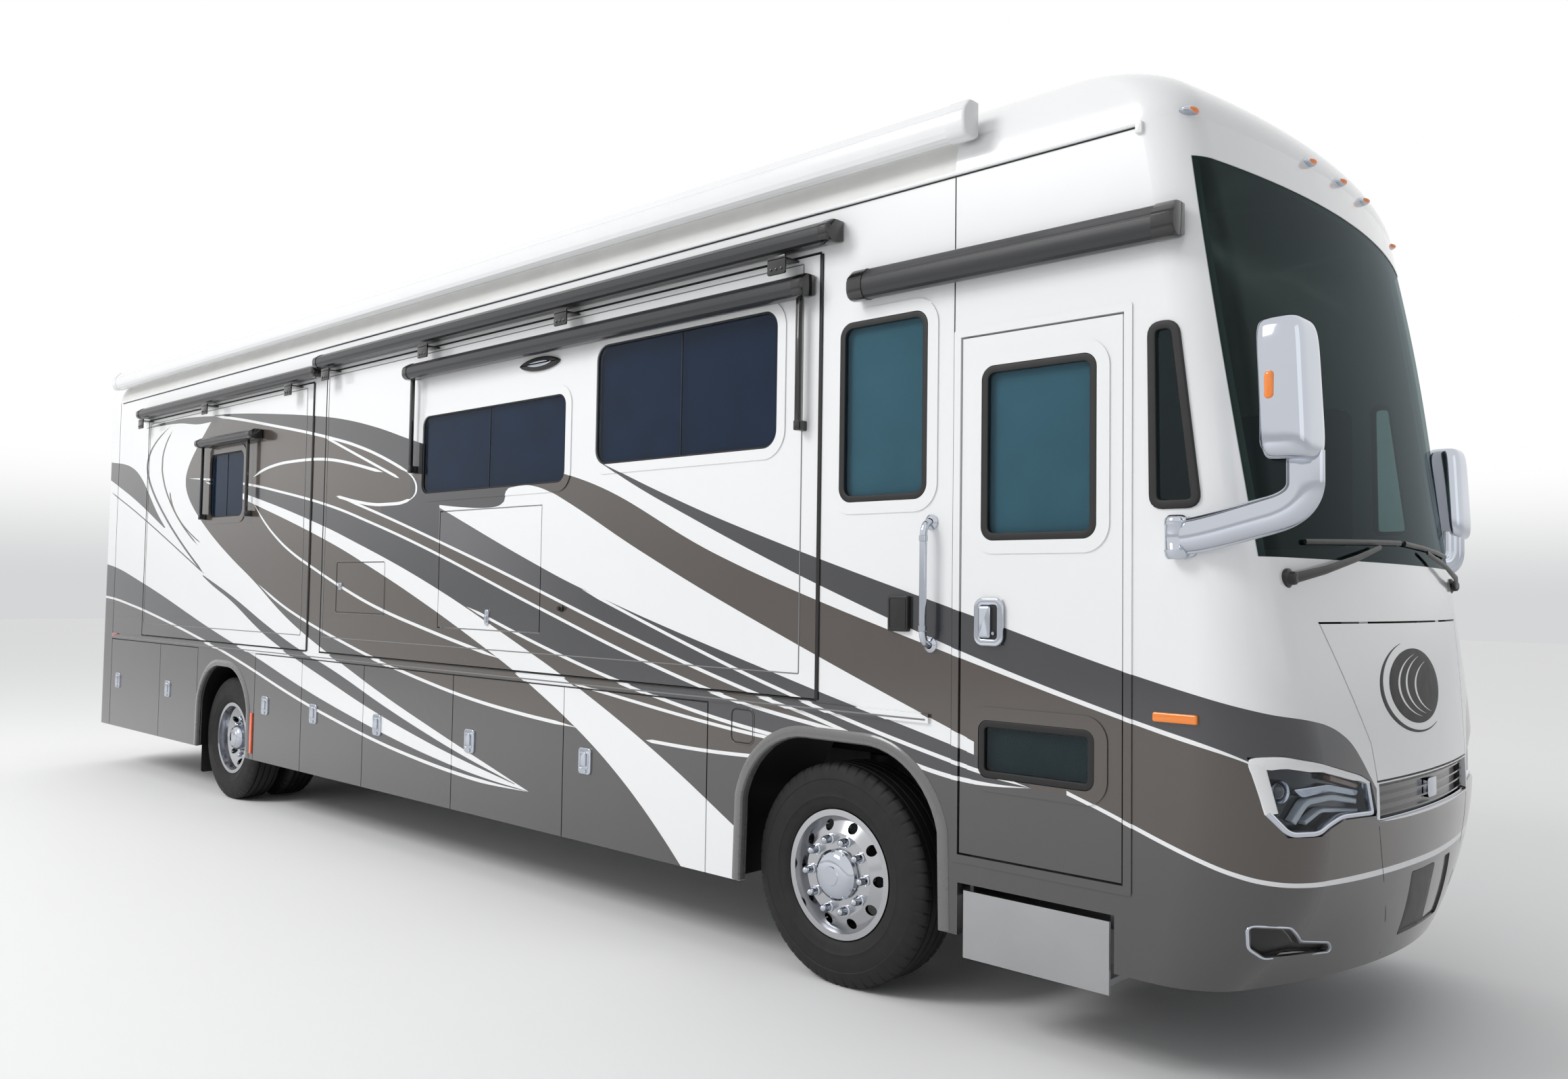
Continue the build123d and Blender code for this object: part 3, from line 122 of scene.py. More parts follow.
CURVES: dict[str, Curve] = {
    "field_top": ((-3.42, 3.347), (-3.02, 3.322), (-2.27, 3.253), (-1.47, 3.163), (-1.07, 3.107), (-0.57, 3.009), (0.18, 2.821),
        (0.78, 2.706), (1.4, 2.575), (1.72, 2.538), (3.12, 2.023), (3.52, 1.89), (4.62, 1.572), (5.52, 1.334), (5.87, 1.255), (6.05, 1.2),
        (6.5, 1.1), (6.8, 1), (7.5, 0.99)),
    "wedge_top": ((0.377, 2.397), (0.628, 2.374), (0.946, 2.357), (1.083, 2.365), (1.156, 2.405), (1.17, 2.459), (1.27, 2.477),
        (1.37, 2.48), (1.47, 2.469), (1.62, 2.43), (1.77, 2.372), (2.47, 2.063), (3.32, 1.722), (5.12, 1.078), (5.24, 1.039),
        (5.69, 0.89), (5.84, 0.855), (5.99, 0.834), (6.24, 0.822), (7.34, 0.816)),
    "wedge_low": ((0.38, 2.379), (1.48, 1.999), (1.93, 1.858), (3.63, 1.421), (4.68, 1.175), (5.12, 1.061), (5.67, 0.879), (5.82, 0.842),
        (5.97, 0.819), (6.22, 0.805), (7.37, 0.79)),
    "band_a_top": ((2.13, 2.565), (2.68, 2.363), (3.23, 2.179), (4.63, 1.768), (5.63, 1.495), (5.93, 1.439), (6.23, 1.405), (6.35, 1.383),
        (6.453, 1.349), (6.53, 1.31), (6.598, 1.256), (6.669, 1.187), (6.73, 1.129)),
    "band_a_low": ((2.13, 2.561), (2.43, 2.42), (2.78, 2.274), (3.48, 1.998), (3.93, 1.834), (4.48, 1.647), (4.83, 1.538), (5.38, 1.386),
        (5.83, 1.274), (6.2, 1.15), (6.75, 1.0)),
    "sweep_low": ((-7.4, 2.1), (-5.97, 2.023), (-5.07, 1.854), (-3.22, 1.422), (-2.47, 1.263), (-1.57, 1.057), (-0.92, 0.927),
        (-0.12, 0.789), (0.38, 0.718), (0.93, 0.658), (1.48, 0.625)),
    "sweep_gap_low": ((-3.57, 1.915), (-3.37, 1.841), (-2.92, 1.696), (-2.42, 1.498), (-2.17, 1.41), (-0.97, 1.09), (-0.47, 0.969),
        (0.18, 0.834), (0.68, 0.747), (1.33, 0.651)),
    "sweep_gap_top": ((-3.57, 1.927), (-2.92, 1.743), (-2.17, 1.501), (-1.72, 1.371), (-1.02, 1.205), (-0.27, 1.003), (0.33, 0.857),
        (0.78, 0.759), (1.33, 0.655)),
    "sweep_top": ((-3.61, 2.388), (-3.36, 2.252), (-3.11, 2.131), (-2.51, 1.881), (-1.96, 1.626), (-1.61, 1.491), (-0.81, 1.235),
        (-0.31, 1.086), (0.29, 0.925), (1.24, 0.685), (1.476, 0.626)),
    "swoosh_top": ((-3.57, 2.763), (-2.57, 2.581), (-1.27, 2.297), (-0.87, 2.194), (0.23, 1.882), (1.28, 1.523), (2.03, 1.242),
        (2.68, 0.956), (3.33, 0.627)),
    "swoosh_low": ((-3.56, 2.751), (-2.67, 2.548), (-1.12, 2.16), (-0.62, 2.01), (0.13, 1.767), (0.98, 1.461), (1.28, 1.344),
        (1.58, 1.214), (1.83, 1.096), (2.08, 0.965), (2.28, 0.845), (2.48, 0.709), (2.68, 0.554), (2.88, 0.383)),
    "tail_top": ((-6.05, 3.09), (-5.6, 3.036), (-5.45, 3.002), (-5.3, 2.949), (-5.2, 2.897), (-5.1, 2.831), (-4.7, 2.505), (-4.5, 2.374)),
    "tail_low": ((-6.03, 2.899), (-5.28, 2.656), (-4.53, 2.371)),
    "sliver_top": ((-5.07, 3.368), (-4.62, 3.382), (-4.27, 3.383), (-3.87, 3.368), (-3.37, 3.335)),
    "sliver_low": ((-5.07, 3.362), (-4.27, 3.343), (-3.67, 3.292), (-3.37, 3.293)),
    "p1": ((1.95, 1.849), (3, 1.526), (3.5, 1.384), (4.55, 1.137), (4.95, 1.069)),
    "p2": ((-1.09, 2.521), (-0.79, 2.454), (0.71, 2.064), (2.71, 1.506), (3.26, 1.369), (3.86, 1.235), (4.31, 1.113), (4.46, 1.082),
        (4.61, 1.064), (4.76, 1.059), (4.96, 1.068)),
    "p3": ((-3.97, 2.812), (-3.27, 2.755), (-2.57, 2.677), (-2.17, 2.618), (-1.17, 2.448), (-0.57, 2.311), (0.18, 2.12), (1.53, 1.733),
        (2.68, 1.422), (3.28, 1.293), (4.08, 1.175), (4.33, 1.114)),
    "p4": ((0.74, 1.724), (1.64, 1.487), (2.29, 1.341), (3.04, 1.207), (3.69, 1.128)),
    "p5": ((1.92, 1.297), (3.12, 1.162), (3.62, 1.122)),
    "p6": ((2.55, 1.034), (3, 1.026), (3.55, 1.038)),
    "p7": ((-2.57, 2.54), (-2.32, 2.357), (-2.07, 2.217), (-1.82, 2.109), (-1.47, 1.992), (-0.82, 1.796), (-0.42, 1.694), (0.23, 1.565),
        (1.13, 1.408)),
    "p8": ((-2.41, 1.85), (-2.06, 1.72), (-1.66, 1.602), (-0.86, 1.417), (-0.36, 1.317), (0.29, 1.208), (0.79, 1.139), (1.29, 1.091),
        (1.94, 1.049)),
    "p9": ((-8.6, 1.76), (-5.93, 1.69), (-5.28, 1.62), (-4.83, 1.559), (-3.33, 1.314), (-2.83, 1.219), (-1.58, 0.953), (-1.03, 0.854),
        (-0.43, 0.76), (0.02, 0.704), (0.67, 0.645), (1.02, 0.627), (1.47, 0.623)),
    "outer_arc": ((-3.42, 3.335), (-3.02, 3.281), (-2.47, 3.193), (-1.02, 2.933), (-0.77, 2.875), (-0.47, 2.791), (0.03, 2.618)),
    "mid_arc": ((-1.31, 2.988), (-0.16, 2.606)),
    "oval_top": ((-2.58, 2.746), (-2.39, 2.793), (-2.19, 2.819), (-1.89, 2.832), (-1.54, 2.828), (-1.29, 2.813), (-1.04, 2.783),
        (-0.39, 2.662)),
    "oval_low": ((-1.09, 2.521), (-0.74, 2.462), (-0.44, 2.431), (-0.19, 2.429), (0.01, 2.452)),
    "tail_line": ((-6.02, 2.779), (-5.22, 2.525), (-3.52, 1.931)),
    "arc1": ((1.94, -3.553), (2.09, -3.852), (2.19, -4.039), (2.34, -4.299), (2.44, -4.458), (2.59, -4.674), (2.69, -4.801),
        (2.79, -4.909), (2.89, -4.987), (2.94, -5.01), (2.99, -5.018), (3.04, -5.008), (3.09, -4.978), (3.14, -4.925), (3.19, -4.846),
        (3.24, -4.74), (3.29, -4.605), (3.34, -4.441)),
    "arc2": ((2.19, -3.699), (2.24, -3.809), (2.34, -4.006), (2.39, -4.093), (2.49, -4.247), (2.64, -4.431), (2.74, -4.526),
        (2.79, -4.563), (2.89, -4.617), (2.94, -4.631), (3.04, -4.629), (3.09, -4.61), (3.14, -4.578), (3.19, -4.533), (3.24, -4.473),
        (3.29, -4.399)),
    "arc3": ((2.21, -3.639), (2.26, -3.779), (2.31, -3.905), (2.36, -4.017), (2.41, -4.114), (2.46, -4.197), (2.51, -4.267),
        (2.56, -4.323), (2.61, -4.366), (2.66, -4.397), (2.71, -4.414)),
    "oval_right": ((2.433, -0.066), (2.454, 0.005), (2.48, 0.054), (2.525, 0.073), (2.583, 0.043), (2.618, -0.004), (2.65, -0.069)),
    "field_left": ((1.61, -1.912), (1.81, -2.349), (2.11, -3.052), (2.26, -3.369), (2.36, -3.556), (2.46, -3.724), (2.56, -3.87),
        (2.66, -3.981), (2.71, -4.016), (2.76, -4.036), (2.81, -4.038), (2.86, -4.023), (2.91, -3.991), (2.96, -3.946), (3.06, -3.828),
        (3.21, -3.62), (3.36, -3.4)),
    "foot_top": ((3.55, 1.04), (4.31, 1.113), (4.46, 1.082), (4.61, 1.064), (4.76, 1.059), (5.12, 1.061)),
    "right_of_oval": ((-0.6, 2.70), (-0.2, 2.63), (0.03, 2.60), (0.4, 2.50)),
}


@dataclass(frozen=True)
class Band:
    """A painted field between an upper and a lower edge.

    Args:
        paint: What it is painted with.
        start: Where it begins along the body, in metres.
        end: Where it ends along the body, in metres.
        top: Name of its upper edge, or none for everything above.
        low: Name of its lower edge, or none for everything below.
        left: Name of a curve over height that it lies ahead of, or none.
        fade: Length over which it comes up from nothing at its rear end, in metres.
    """

    paint: Paint
    start: float
    end: float
    top: str | None = None
    low: str | None = None
    left: str | None = None
    fade: float = 0.0


@dataclass(frozen=True)
class Stripe:
    """A narrow line of even width that follows a curve and tapers to its ends.

    Args:
        paint: What it is painted with.
        curve: Name of its centre line.
        width: Its full width in metres.
        sideways: True where the curve gives the place along the body over the height.
    """

    paint: Paint
    curve: str
    width: float
    sideways: bool = False


LIVERY: tuple[Band | Stripe, ...] = (
    Band(Paint.CHARCOAL, -7.7, 1.476, top="sweep_low"),
    Band(Paint.WARM_GREY, -7.7, 1.476, top="p9"),
    Stripe(Paint.WHITE, "p9", 0.022),
    Band(Paint.CHARCOAL, -3.566, 1.33, top="sweep_gap_top", low="sweep_gap_low"),
    Band(Paint.CHARCOAL, -4.05, 1.476, top="field_top", low="sweep_top", left="field_left"),
    Band(Paint.TAUPE, -4.05, -1.09, top="outer_arc", low="p3", left="field_left"),
    Band(Paint.TAUPE, -1.09, 0.4, top="outer_arc", low="p2"),
    Band(Paint.CHARCOAL, -0.4, 0.4, top="right_of_oval", low="p2"),
    Band(Paint.TAUPE, -1.5, 0.0, top="oval_top", low="oval_low"),
    Band(Paint.TAUPE, 1.2, 1.476, top="field_top", low="sweep_top"),
    Band(Paint.TAUPE, 1.475, 7.5, top="field_top"),
    Band(Paint.WHITE, 0.378, 4.68, top="wedge_top", low="wedge_low"),
    # Painted sheen: this lighter grey lies under the charcoal band below, which fades in over it between 0.7 and 2.1
    # along the body, so the charcoal looks brighter towards the rear.
    Band(Paint.PAINTED_SHEEN_GREY, 0.378, 4.68, top="wedge_low", low="p2"),
    Band(Paint.CHARCOAL, 0.7, 4.95, top="wedge_low", low="p2", fade=1.4),
    Band(Paint.TAUPE, -1.09, 4.33, top="p2", low="p3"),
    Band(Paint.CHARCOAL, -3.5, 4.33, top="p3", low="swoosh_top"),
    Band(Paint.TAUPE, 0.74, 1.476, top="p4", low="sweep_top"),
    Band(Paint.TAUPE, 1.475, 3.69, top="p4"),
    Band(Paint.WARM_GREY, 2.55, 3.56, top="p6"),
    Band(Paint.WARM_GREY, 3.5, 5.13, top="foot_top"),
    Band(Paint.TAUPE, -1.9, 3.36, top="swoosh_low", low="sweep_top"),
    Band(Paint.TAUPE, -3.6, -1.899, top="swoosh_low", low="sweep_top", left="field_left"),
    Band(Paint.WARM_GREY, -2.41, 1.476, top="p8", low="sweep_top"),
    Band(Paint.WARM_GREY, 1.475, 1.941, top="p8"),
    Band(Paint.WHITE, -3.566, 3.34, top="swoosh_top", low="swoosh_low"),
    Band(Paint.WARM_GREY, 1.94, 3.36, top="swoosh_low"),
    Band(Paint.WHITE, 5.12, 7.5, top="wedge_top", low="wedge_low"),
    Band(Paint.WARM_GREY, 5.12, 7.5, top="wedge_low"),
    Band(Paint.CHARCOAL, 2.132, 6.73, top="band_a_top", low="band_a_low"),
    Band(Paint.CHARCOAL, -6.05, -4.5, top="tail_top", low="tail_low"),
    Band(Paint.CHARCOAL, -5.07, -3.37, top="sliver_top", low="sliver_low"),
    *(Stripe(Paint.WHITE, name, width) for name, width in (
        ("p1", 0.018), ("p2", 0.019), ("p3", 0.019), ("p4", 0.019), ("p5", 0.017), ("p6", 0.018), ("p7", 0.022),
        ("p8", 0.021), ("outer_arc", 0.022), ("mid_arc", 0.020), ("oval_top", 0.022), ("oval_low", 0.022),
    )),
    Stripe(Paint.WHITE, "oval_right", 0.022, sideways=True),
    Stripe(Paint.CHARCOAL, "tail_line", 0.014),
    Stripe(Paint.CHARCOAL, "arc1", 0.050, sideways=True),
    Stripe(Paint.CHARCOAL, "arc2", 0.036, sideways=True),
    Stripe(Paint.TAUPE, "arc3", 0.034, sideways=True),
)


class NodeNet:
    """A node tree that is built up socket by socket."""

    def __init__(self, tree: bpy.types.NodeTree, coordinates: str) -> None:
        """Empties the tree and finds the coordinates.

        Args:
            tree: The tree.
            coordinates: Which output of the coordinate node its patterns read.
        """
        self.tree = tree
        self.tree.nodes.clear()
        self.places = self.node("ShaderNodeTexCoord").outputs[coordinates]

    def node(self, kind: str) -> bpy.types.Node:
        """Adds one node of a kind, by Blender's name of it."""
        return self.tree.nodes.new(kind)

    def feed(self, socket: Socket, value: Fed) -> None:
        """Sets a socket to a number or colour, or links it.

        Args:
            socket: The input socket.
            value: A number, a tuple or an output socket.
        """
        if isinstance(value, bpy.types.NodeSocket):
            self.tree.links.new(value, socket)
        elif isinstance(value, (int, float)):
            socket.default_value = value
        else:
            socket.default_value = tuple(value) + (1.0,) * (len(socket.default_value) - len(value))

    def maths(self, operation: str, first: Fed, second: Fed | None = None, clamp: bool = False) -> Socket:
        """Adds a maths node.

        Args:
            operation: Blender's name of the operation.
            first: First value or socket.
            second: Second value or socket, if the operation takes one.
            clamp: True to keep the result between 0 and 1.

        Returns:
            The output socket.
        """
        made = self.node("ShaderNodeMath")
        made.operation = operation
        made.use_clamp = clamp
        self.feed(made.inputs[0], first)
        if second is not None:
            self.feed(made.inputs[1], second)
        return made.outputs[0]

    def within(self, value: Socket, lowest: float, highest: float) -> Socket:
        """A mask of where a value lies between two limits.

        Args:
            value: The socket.
            lowest: Lower limit.
            highest: Upper limit.

        Returns:
            A socket of 1 inside and 0 outside.
        """
        middle, reach = (lowest + highest) / 2, (highest - lowest) / 2
        away = self.maths("ABSOLUTE", self.maths("SUBTRACT", value, middle))
        return self.maths("LESS_THAN", away, reach)

    def axes(self) -> tuple[Socket, Socket, Socket]:
        """The three coordinates.

        Returns:
            Sockets of x, y and z.
        """
        parts = self.node("ShaderNodeSeparateXYZ")
        self.feed(parts.inputs[0], self.places)
        return parts.outputs[0], parts.outputs[1], parts.outputs[2]

    def noise(self, scale: float, detail: float = 3.0, stretch: Spot = (1.0, 1.0, 1.0)) -> Socket:
        """Soft noise over the object coordinates.

        Args:
            scale: Waves per metre.
            detail: Octaves.
            stretch: How much denser it is along each axis.

        Returns:
            A socket of 0 to 1.
        """
        places = self.node("ShaderNodeVectorMath")
        places.operation = "MULTIPLY"
        self.feed(places.inputs[0], self.places)
        places.inputs[1].default_value = stretch
        made = self.node("ShaderNodeTexNoise")
        self.feed(made.inputs["Vector"], places.outputs[0])
        made.inputs["Scale"].default_value = scale
        made.inputs["Detail"].default_value = detail
        return made.outputs["Fac"]

    def spread(self, value: Socket, lowest: float, highest: float) -> Socket:
        """Maps 0 to 1 on to a range.

        Args:
            value: The socket.
            lowest: Result at 0.
            highest: Result at 1.

        Returns:
            The mapped socket.
        """
        made = self.node("ShaderNodeMapRange")
        self.feed(made.inputs["Value"], value)
        made.inputs["To Min"].default_value = lowest
        made.inputs["To Max"].default_value = highest
        return made.outputs[0]

    def mix(self, share: Fed, first: Fed, second: Fed) -> Socket:
        """Mixes two colours.

        Args:
            share: Share of the second, a number or socket.
            first: First colour.
            second: Second colour.

        Returns:
            The colour socket.
        """
        made = self.node("ShaderNodeMix")
        made.data_type = "RGBA"
        self.feed(made.inputs[0], share)
        self.feed(made.inputs[6], first)
        self.feed(made.inputs[7], second)
        return made.outputs[2]

    def blend(self, share: Fed, first: Socket, second: Socket) -> Socket:
        """Mixes two surfaces or backgrounds.

        Args:
            share: Share of the second, a number or socket.
            first: Output of the first.
            second: Output of the second.

        Returns:
            The mixed output.
        """
        made = self.node("ShaderNodeMixShader")
        for socket, value in zip(made.inputs, (share, first, second)):
            self.feed(socket, value)
        return made.outputs[0]

    def bump(self, height: Socket, distance: float) -> Socket:
        """A normal bent by a height.

        Args:
            height: The height socket.
            distance: What a height of 1 stands for, in metres.

        Returns:
            The normal socket.
        """
        made = self.node("ShaderNodeBump")
        made.inputs["Strength"].default_value = 1.0
        made.inputs["Distance"].default_value = distance
        self.feed(made.inputs["Height"], height)
        return made.outputs[0]

    def ease(self, value: Socket, start: float, end: float) -> Socket:
        """Rises smoothly from 0 to 1 between two limits.

        Args:
            value: The socket.
            start: Where it leaves 0.
            end: Where it reaches 1.

        Returns:
            The eased socket.
        """
        made = self.node("ShaderNodeMapRange")
        made.interpolation_type = "SMOOTHSTEP"
        self.feed(made.inputs["Value"], value)
        made.inputs["From Min"].default_value = start
        made.inputs["From Max"].default_value = end
        return made.outputs[0]

    def follow(self, value: Socket, points: Curve, scale: float, offset: float = 0.0) -> Socket:
        """Looks a value up in a curve.

        The result at a place is the curve's height there, read from a table whose axes both run from 0 to 1.

        Args:
            value: The socket along the curve.
            points: Places and heights in rising order.
            scale: Span of the heights.
            offset: Lowest height.

        Returns:
            A socket of (height - offset) / scale.
        """
        low, high = points[0][0], points[-1][0]
        made = self.node("ShaderNodeMapRange")
        self.feed(made.inputs["Value"], value)
        made.inputs["From Min"].default_value = low
        made.inputs["From Max"].default_value = high
        table = self.node("ShaderNodeFloatCurve")
        table.mapping.use_clip = True
        line = table.mapping.curves[0]
        while len(line.points) < len(points):
            line.points.new(0.5, 0.5)
        for spot, (place, height) in zip(line.points, points):
            spot.location = ((place - low) / (high - low), (height - offset) / scale)
            spot.handle_type = "AUTO_CLAMPED"
        table.mapping.update()
        self.feed(table.inputs["Value"], made.outputs[0])
        return table.outputs[0]


class Shader(NodeNet):
    """The nodes of one material."""

    def __init__(self, name: str) -> None:
        """Makes the empty material.

        Args:
            name: Name of the material.
        """
        self.material = bpy.data.materials.new(name)
        self.material.use_nodes = True
        super().__init__(self.material.node_tree, "Object")
        self.output = self.node("ShaderNodeOutputMaterial")

    def principled(self, **inputs: Fed) -> bpy.types.Node:
        """Adds the main surface and joins it to the output.

        Args:
            **inputs: Value or socket for each input, with underscores for spaces.

        Returns:
            The surface node.
        """
        made = self.node("ShaderNodeBsdfPrincipled")
        for name, value in inputs.items():
            self.feed(made.inputs[name.replace("_", " ")], value)
        self.feed(self.output.inputs["Surface"], made.outputs[0])
        return made


class LiveryPattern:
    """Lays the bands and stripes of the livery over each other in painting order."""

    def __init__(self, shader: Shader) -> None:
        """Prepares the places that the edges are looked up at.

        The place along the body runs round the front and rear corners with the skin: it is x plus the distance
        in from the side wall, towards the nose or the tail.

        Args:
            shader: The material that is painted.
        """
        self.shader = shader
        x, y, z = shader.axes()
        inward = shader.maths("MAXIMUM", shader.maths("SUBTRACT", HALF_WIDTH, shader.maths("ABSOLUTE", y)), 0.0)
        ahead = shader.maths("GREATER_THAN", x, NOSE_TURN)
        behind = shader.maths("LESS_THAN", x, TAIL_TURN)
        turn = shader.maths("SUBTRACT", ahead, behind)
        self.along = shader.maths("ADD", x, shader.maths("MULTIPLY", inward, turn))
        self.height = shader.maths("DIVIDE", z, LIVERY_TOP)
        skin = shader.maths("LESS_THAN", inward, PANEL_FADE)
        self.outside = shader.maths("MAXIMUM", skin, shader.maths("MAXIMUM", ahead, behind))
        self.rise = z

    def edge(self, name: str) -> Socket:
        """Height of a named curve at each place, as a share of LIVERY_TOP."""
        return self.shader.follow(self.along, CURVES[name], LIVERY_TOP)

    def lay_band(self, colour: Fed, band: Band) -> Socket:
        """Lays a band over what is already painted.

        Args:
            colour: Socket of what is painted so far.
            band: The band.

        Returns:
            The new colour socket.
        """
        shader = self.shader
        mask = shader.within(self.along, band.start, band.end)
        if band.top:
            mask = shader.maths("MULTIPLY", mask, shader.maths("LESS_THAN", self.height, self.edge(band.top)))
        if band.low:
            mask = shader.maths("MULTIPLY", mask, shader.maths("GREATER_THAN", self.height, self.edge(band.low)))
        if band.left:
            points = CURVES[band.left]
            reach = shader.follow(self.rise, points, ALONG_SPAN, ALONG_FROM)
            share = shader.maths("DIVIDE", shader.maths("SUBTRACT", self.along, ALONG_FROM), ALONG_SPAN)
            mask = shader.maths("MULTIPLY", mask, shader.maths("GREATER_THAN", share, reach))
        if band.fade:
            rise = shader.maths("DIVIDE", shader.maths("SUBTRACT", self.along, band.start), band.fade, clamp=True)
            mask = shader.maths("MULTIPLY", mask, rise)
        return shader.mix(mask, colour, band.paint.value)

    def lay_stripe(self, colour: Fed, stripe: Stripe) -> Socket:
        """Lays a stripe over what is already painted.

        A point is on the stripe where it is nearer to the centre line than half the width, which shrinks to
        nothing over the last tenth at each end.

        Args:
            colour: Socket of what is painted so far.
            stripe: The stripe.

        Returns:
            The new colour socket.
        """
        shader = self.shader
        points = CURVES[stripe.curve]
        start, end = points[0][0], points[-1][0]
        place, other = (self.rise, self.along) if stripe.sideways else (self.along, self.rise)
        scale, offset = (ALONG_SPAN, ALONG_FROM) if stripe.sideways else (LIVERY_TOP, 0.0)
        centre = shader.follow(place, points, scale, offset)
        share = shader.maths("DIVIDE", shader.maths("SUBTRACT", other, offset), scale)
        away = shader.maths("ABSOLUTE", shader.maths("SUBTRACT", share, centre))
        middle, reach = (start + end) / 2, (end - start) / 2
        inside = shader.maths("SUBTRACT", reach, shader.maths("ABSOLUTE", shader.maths("SUBTRACT", place, middle)))
        taper = shader.maths("DIVIDE", inside, TAPER_SHARE * reach, clamp=True)
        half = shader.maths("MULTIPLY", taper, stripe.width / 2 / scale)
        return shader.mix(shader.maths("LESS_THAN", away, half), colour, stripe.paint.value)

    def colour(self) -> Socket:
        """The whole livery.

        Returns:
            The colour socket.
        """
        painted = Paint.WHITE.value
        for layer in LIVERY:
            painted = self.lay_band(painted, layer) if isinstance(layer, Band) else self.lay_stripe(painted, layer)
        return self.shader.mix(self.outside, Paint.WHITE.value, painted)


class Finish:
    """One finish of the motorhome. Each kind builds its own material."""

    def build(self, name: str) -> bpy.types.Material:
        """Builds the material under the given name."""
        raise NotImplementedError


@dataclass(frozen=True)
class CoachPaint(Finish):
    """Clear-coated paint with the livery, faint orange peel and faint patches of dust."""

    livery: bool = True
    roughness: float = 0.22
    peel: float = 0.00012

    def build(self, name: str) -> bpy.types.Material:
        """Builds the material.

        Args:
            name: Name of the material slot.

        Returns:
            The material.
        """
        shader = Shader(name)
        base = LiveryPattern(shader).colour() if self.livery else Paint.WHITE.value
        cloud = shader.noise(1.3, 4.0)
        base = shader.mix(shader.spread(cloud, 0.0, 0.05), base, linear(150, 146, 140))
        rough = shader.spread(shader.noise(6.0, 5.0), self.roughness - 0.04, self.roughness + 0.05)
        normal = shader.bump(shader.noise(180.0, 2.0), self.peel)
        shader.principled(Base_Color=base, Roughness=rough, Normal=normal, Coat_Weight=0.8, Coat_Roughness=0.04)
        return shader.material


@dataclass(frozen=True)
class Moulding(Finish):
    """Moulded or sheet material: one colour with clouding, fine grain and uneven gloss."""

    tint: Colour
    roughness: float = 0.5
    metallic: float = 0.0
    grain: float = 0.0002
    grain_scale: float = 400.0
    cloud: float = 0.15
    coat: float = 0.0
    stretch: Spot = (1.0, 1.0, 1.0)

    def build(self, name: str) -> bpy.types.Material:
        """Builds the material.

        Args:
            name: Name of the material slot.

        Returns:
            The material.
        """
        shader = Shader(name)
        darker = tuple(part * (1.0 - self.cloud) for part in self.tint)
        base = shader.mix(shader.noise(5.0, 5.0), self.tint, darker)
        rough = shader.spread(shader.noise(14.0, 4.0), self.roughness * 0.85, min(1.0, self.roughness * 1.15))
        normal = shader.bump(shader.noise(self.grain_scale, 3.0, self.stretch), self.grain)
        shader.principled(Base_Color=base, Roughness=rough, Metallic=self.metallic, Normal=normal, Coat_Weight=self.coat)
        return shader.material


@dataclass(frozen=True)
class TintedGlass(Finish):
    """Dark glass: a mirror-like face over a tinted see-through pane. Only the faces towards the eye mirror."""

    tint: Colour = linear(208, 222, 226)
    gloss: float = 0.02
    ior: float = 1.4
    shine: Colour = linear(196, 202, 208)

    def build(self, name: str) -> bpy.types.Material:
        """Builds the material.

        Args:
            name: Name of the material slot.

        Returns:
            The material.
        """
        shader = Shader(name)
        through = shader.node("ShaderNodeBsdfTransparent")
        shade = shader.mix(shader.spread(shader.noise(2.0, 2.0), 0.0, 0.12), self.tint, tuple(part * 0.6 for part in self.tint))
        shader.feed(through.inputs["Color"], shade)
        mirror = shader.node("ShaderNodeBsdfGlossy")
        mirror.inputs["Roughness"].default_value = self.gloss
        shader.feed(mirror.inputs["Color"], self.shine)
        shader.feed(mirror.inputs["Normal"], shader.bump(shader.noise(2.5, 2.0), 0.0006))
        glance = shader.node("ShaderNodeFresnel")
        glance.inputs["IOR"].default_value = self.ior
        front = shader.maths("SUBTRACT", 1.0, shader.node("ShaderNodeNewGeometry").outputs["Backfacing"])
        both = shader.blend(shader.maths("MULTIPLY", glance.outputs[0], front), through.outputs[0], mirror.outputs[0])
        shader.feed(shader.output.inputs["Surface"], both)
        return shader.material


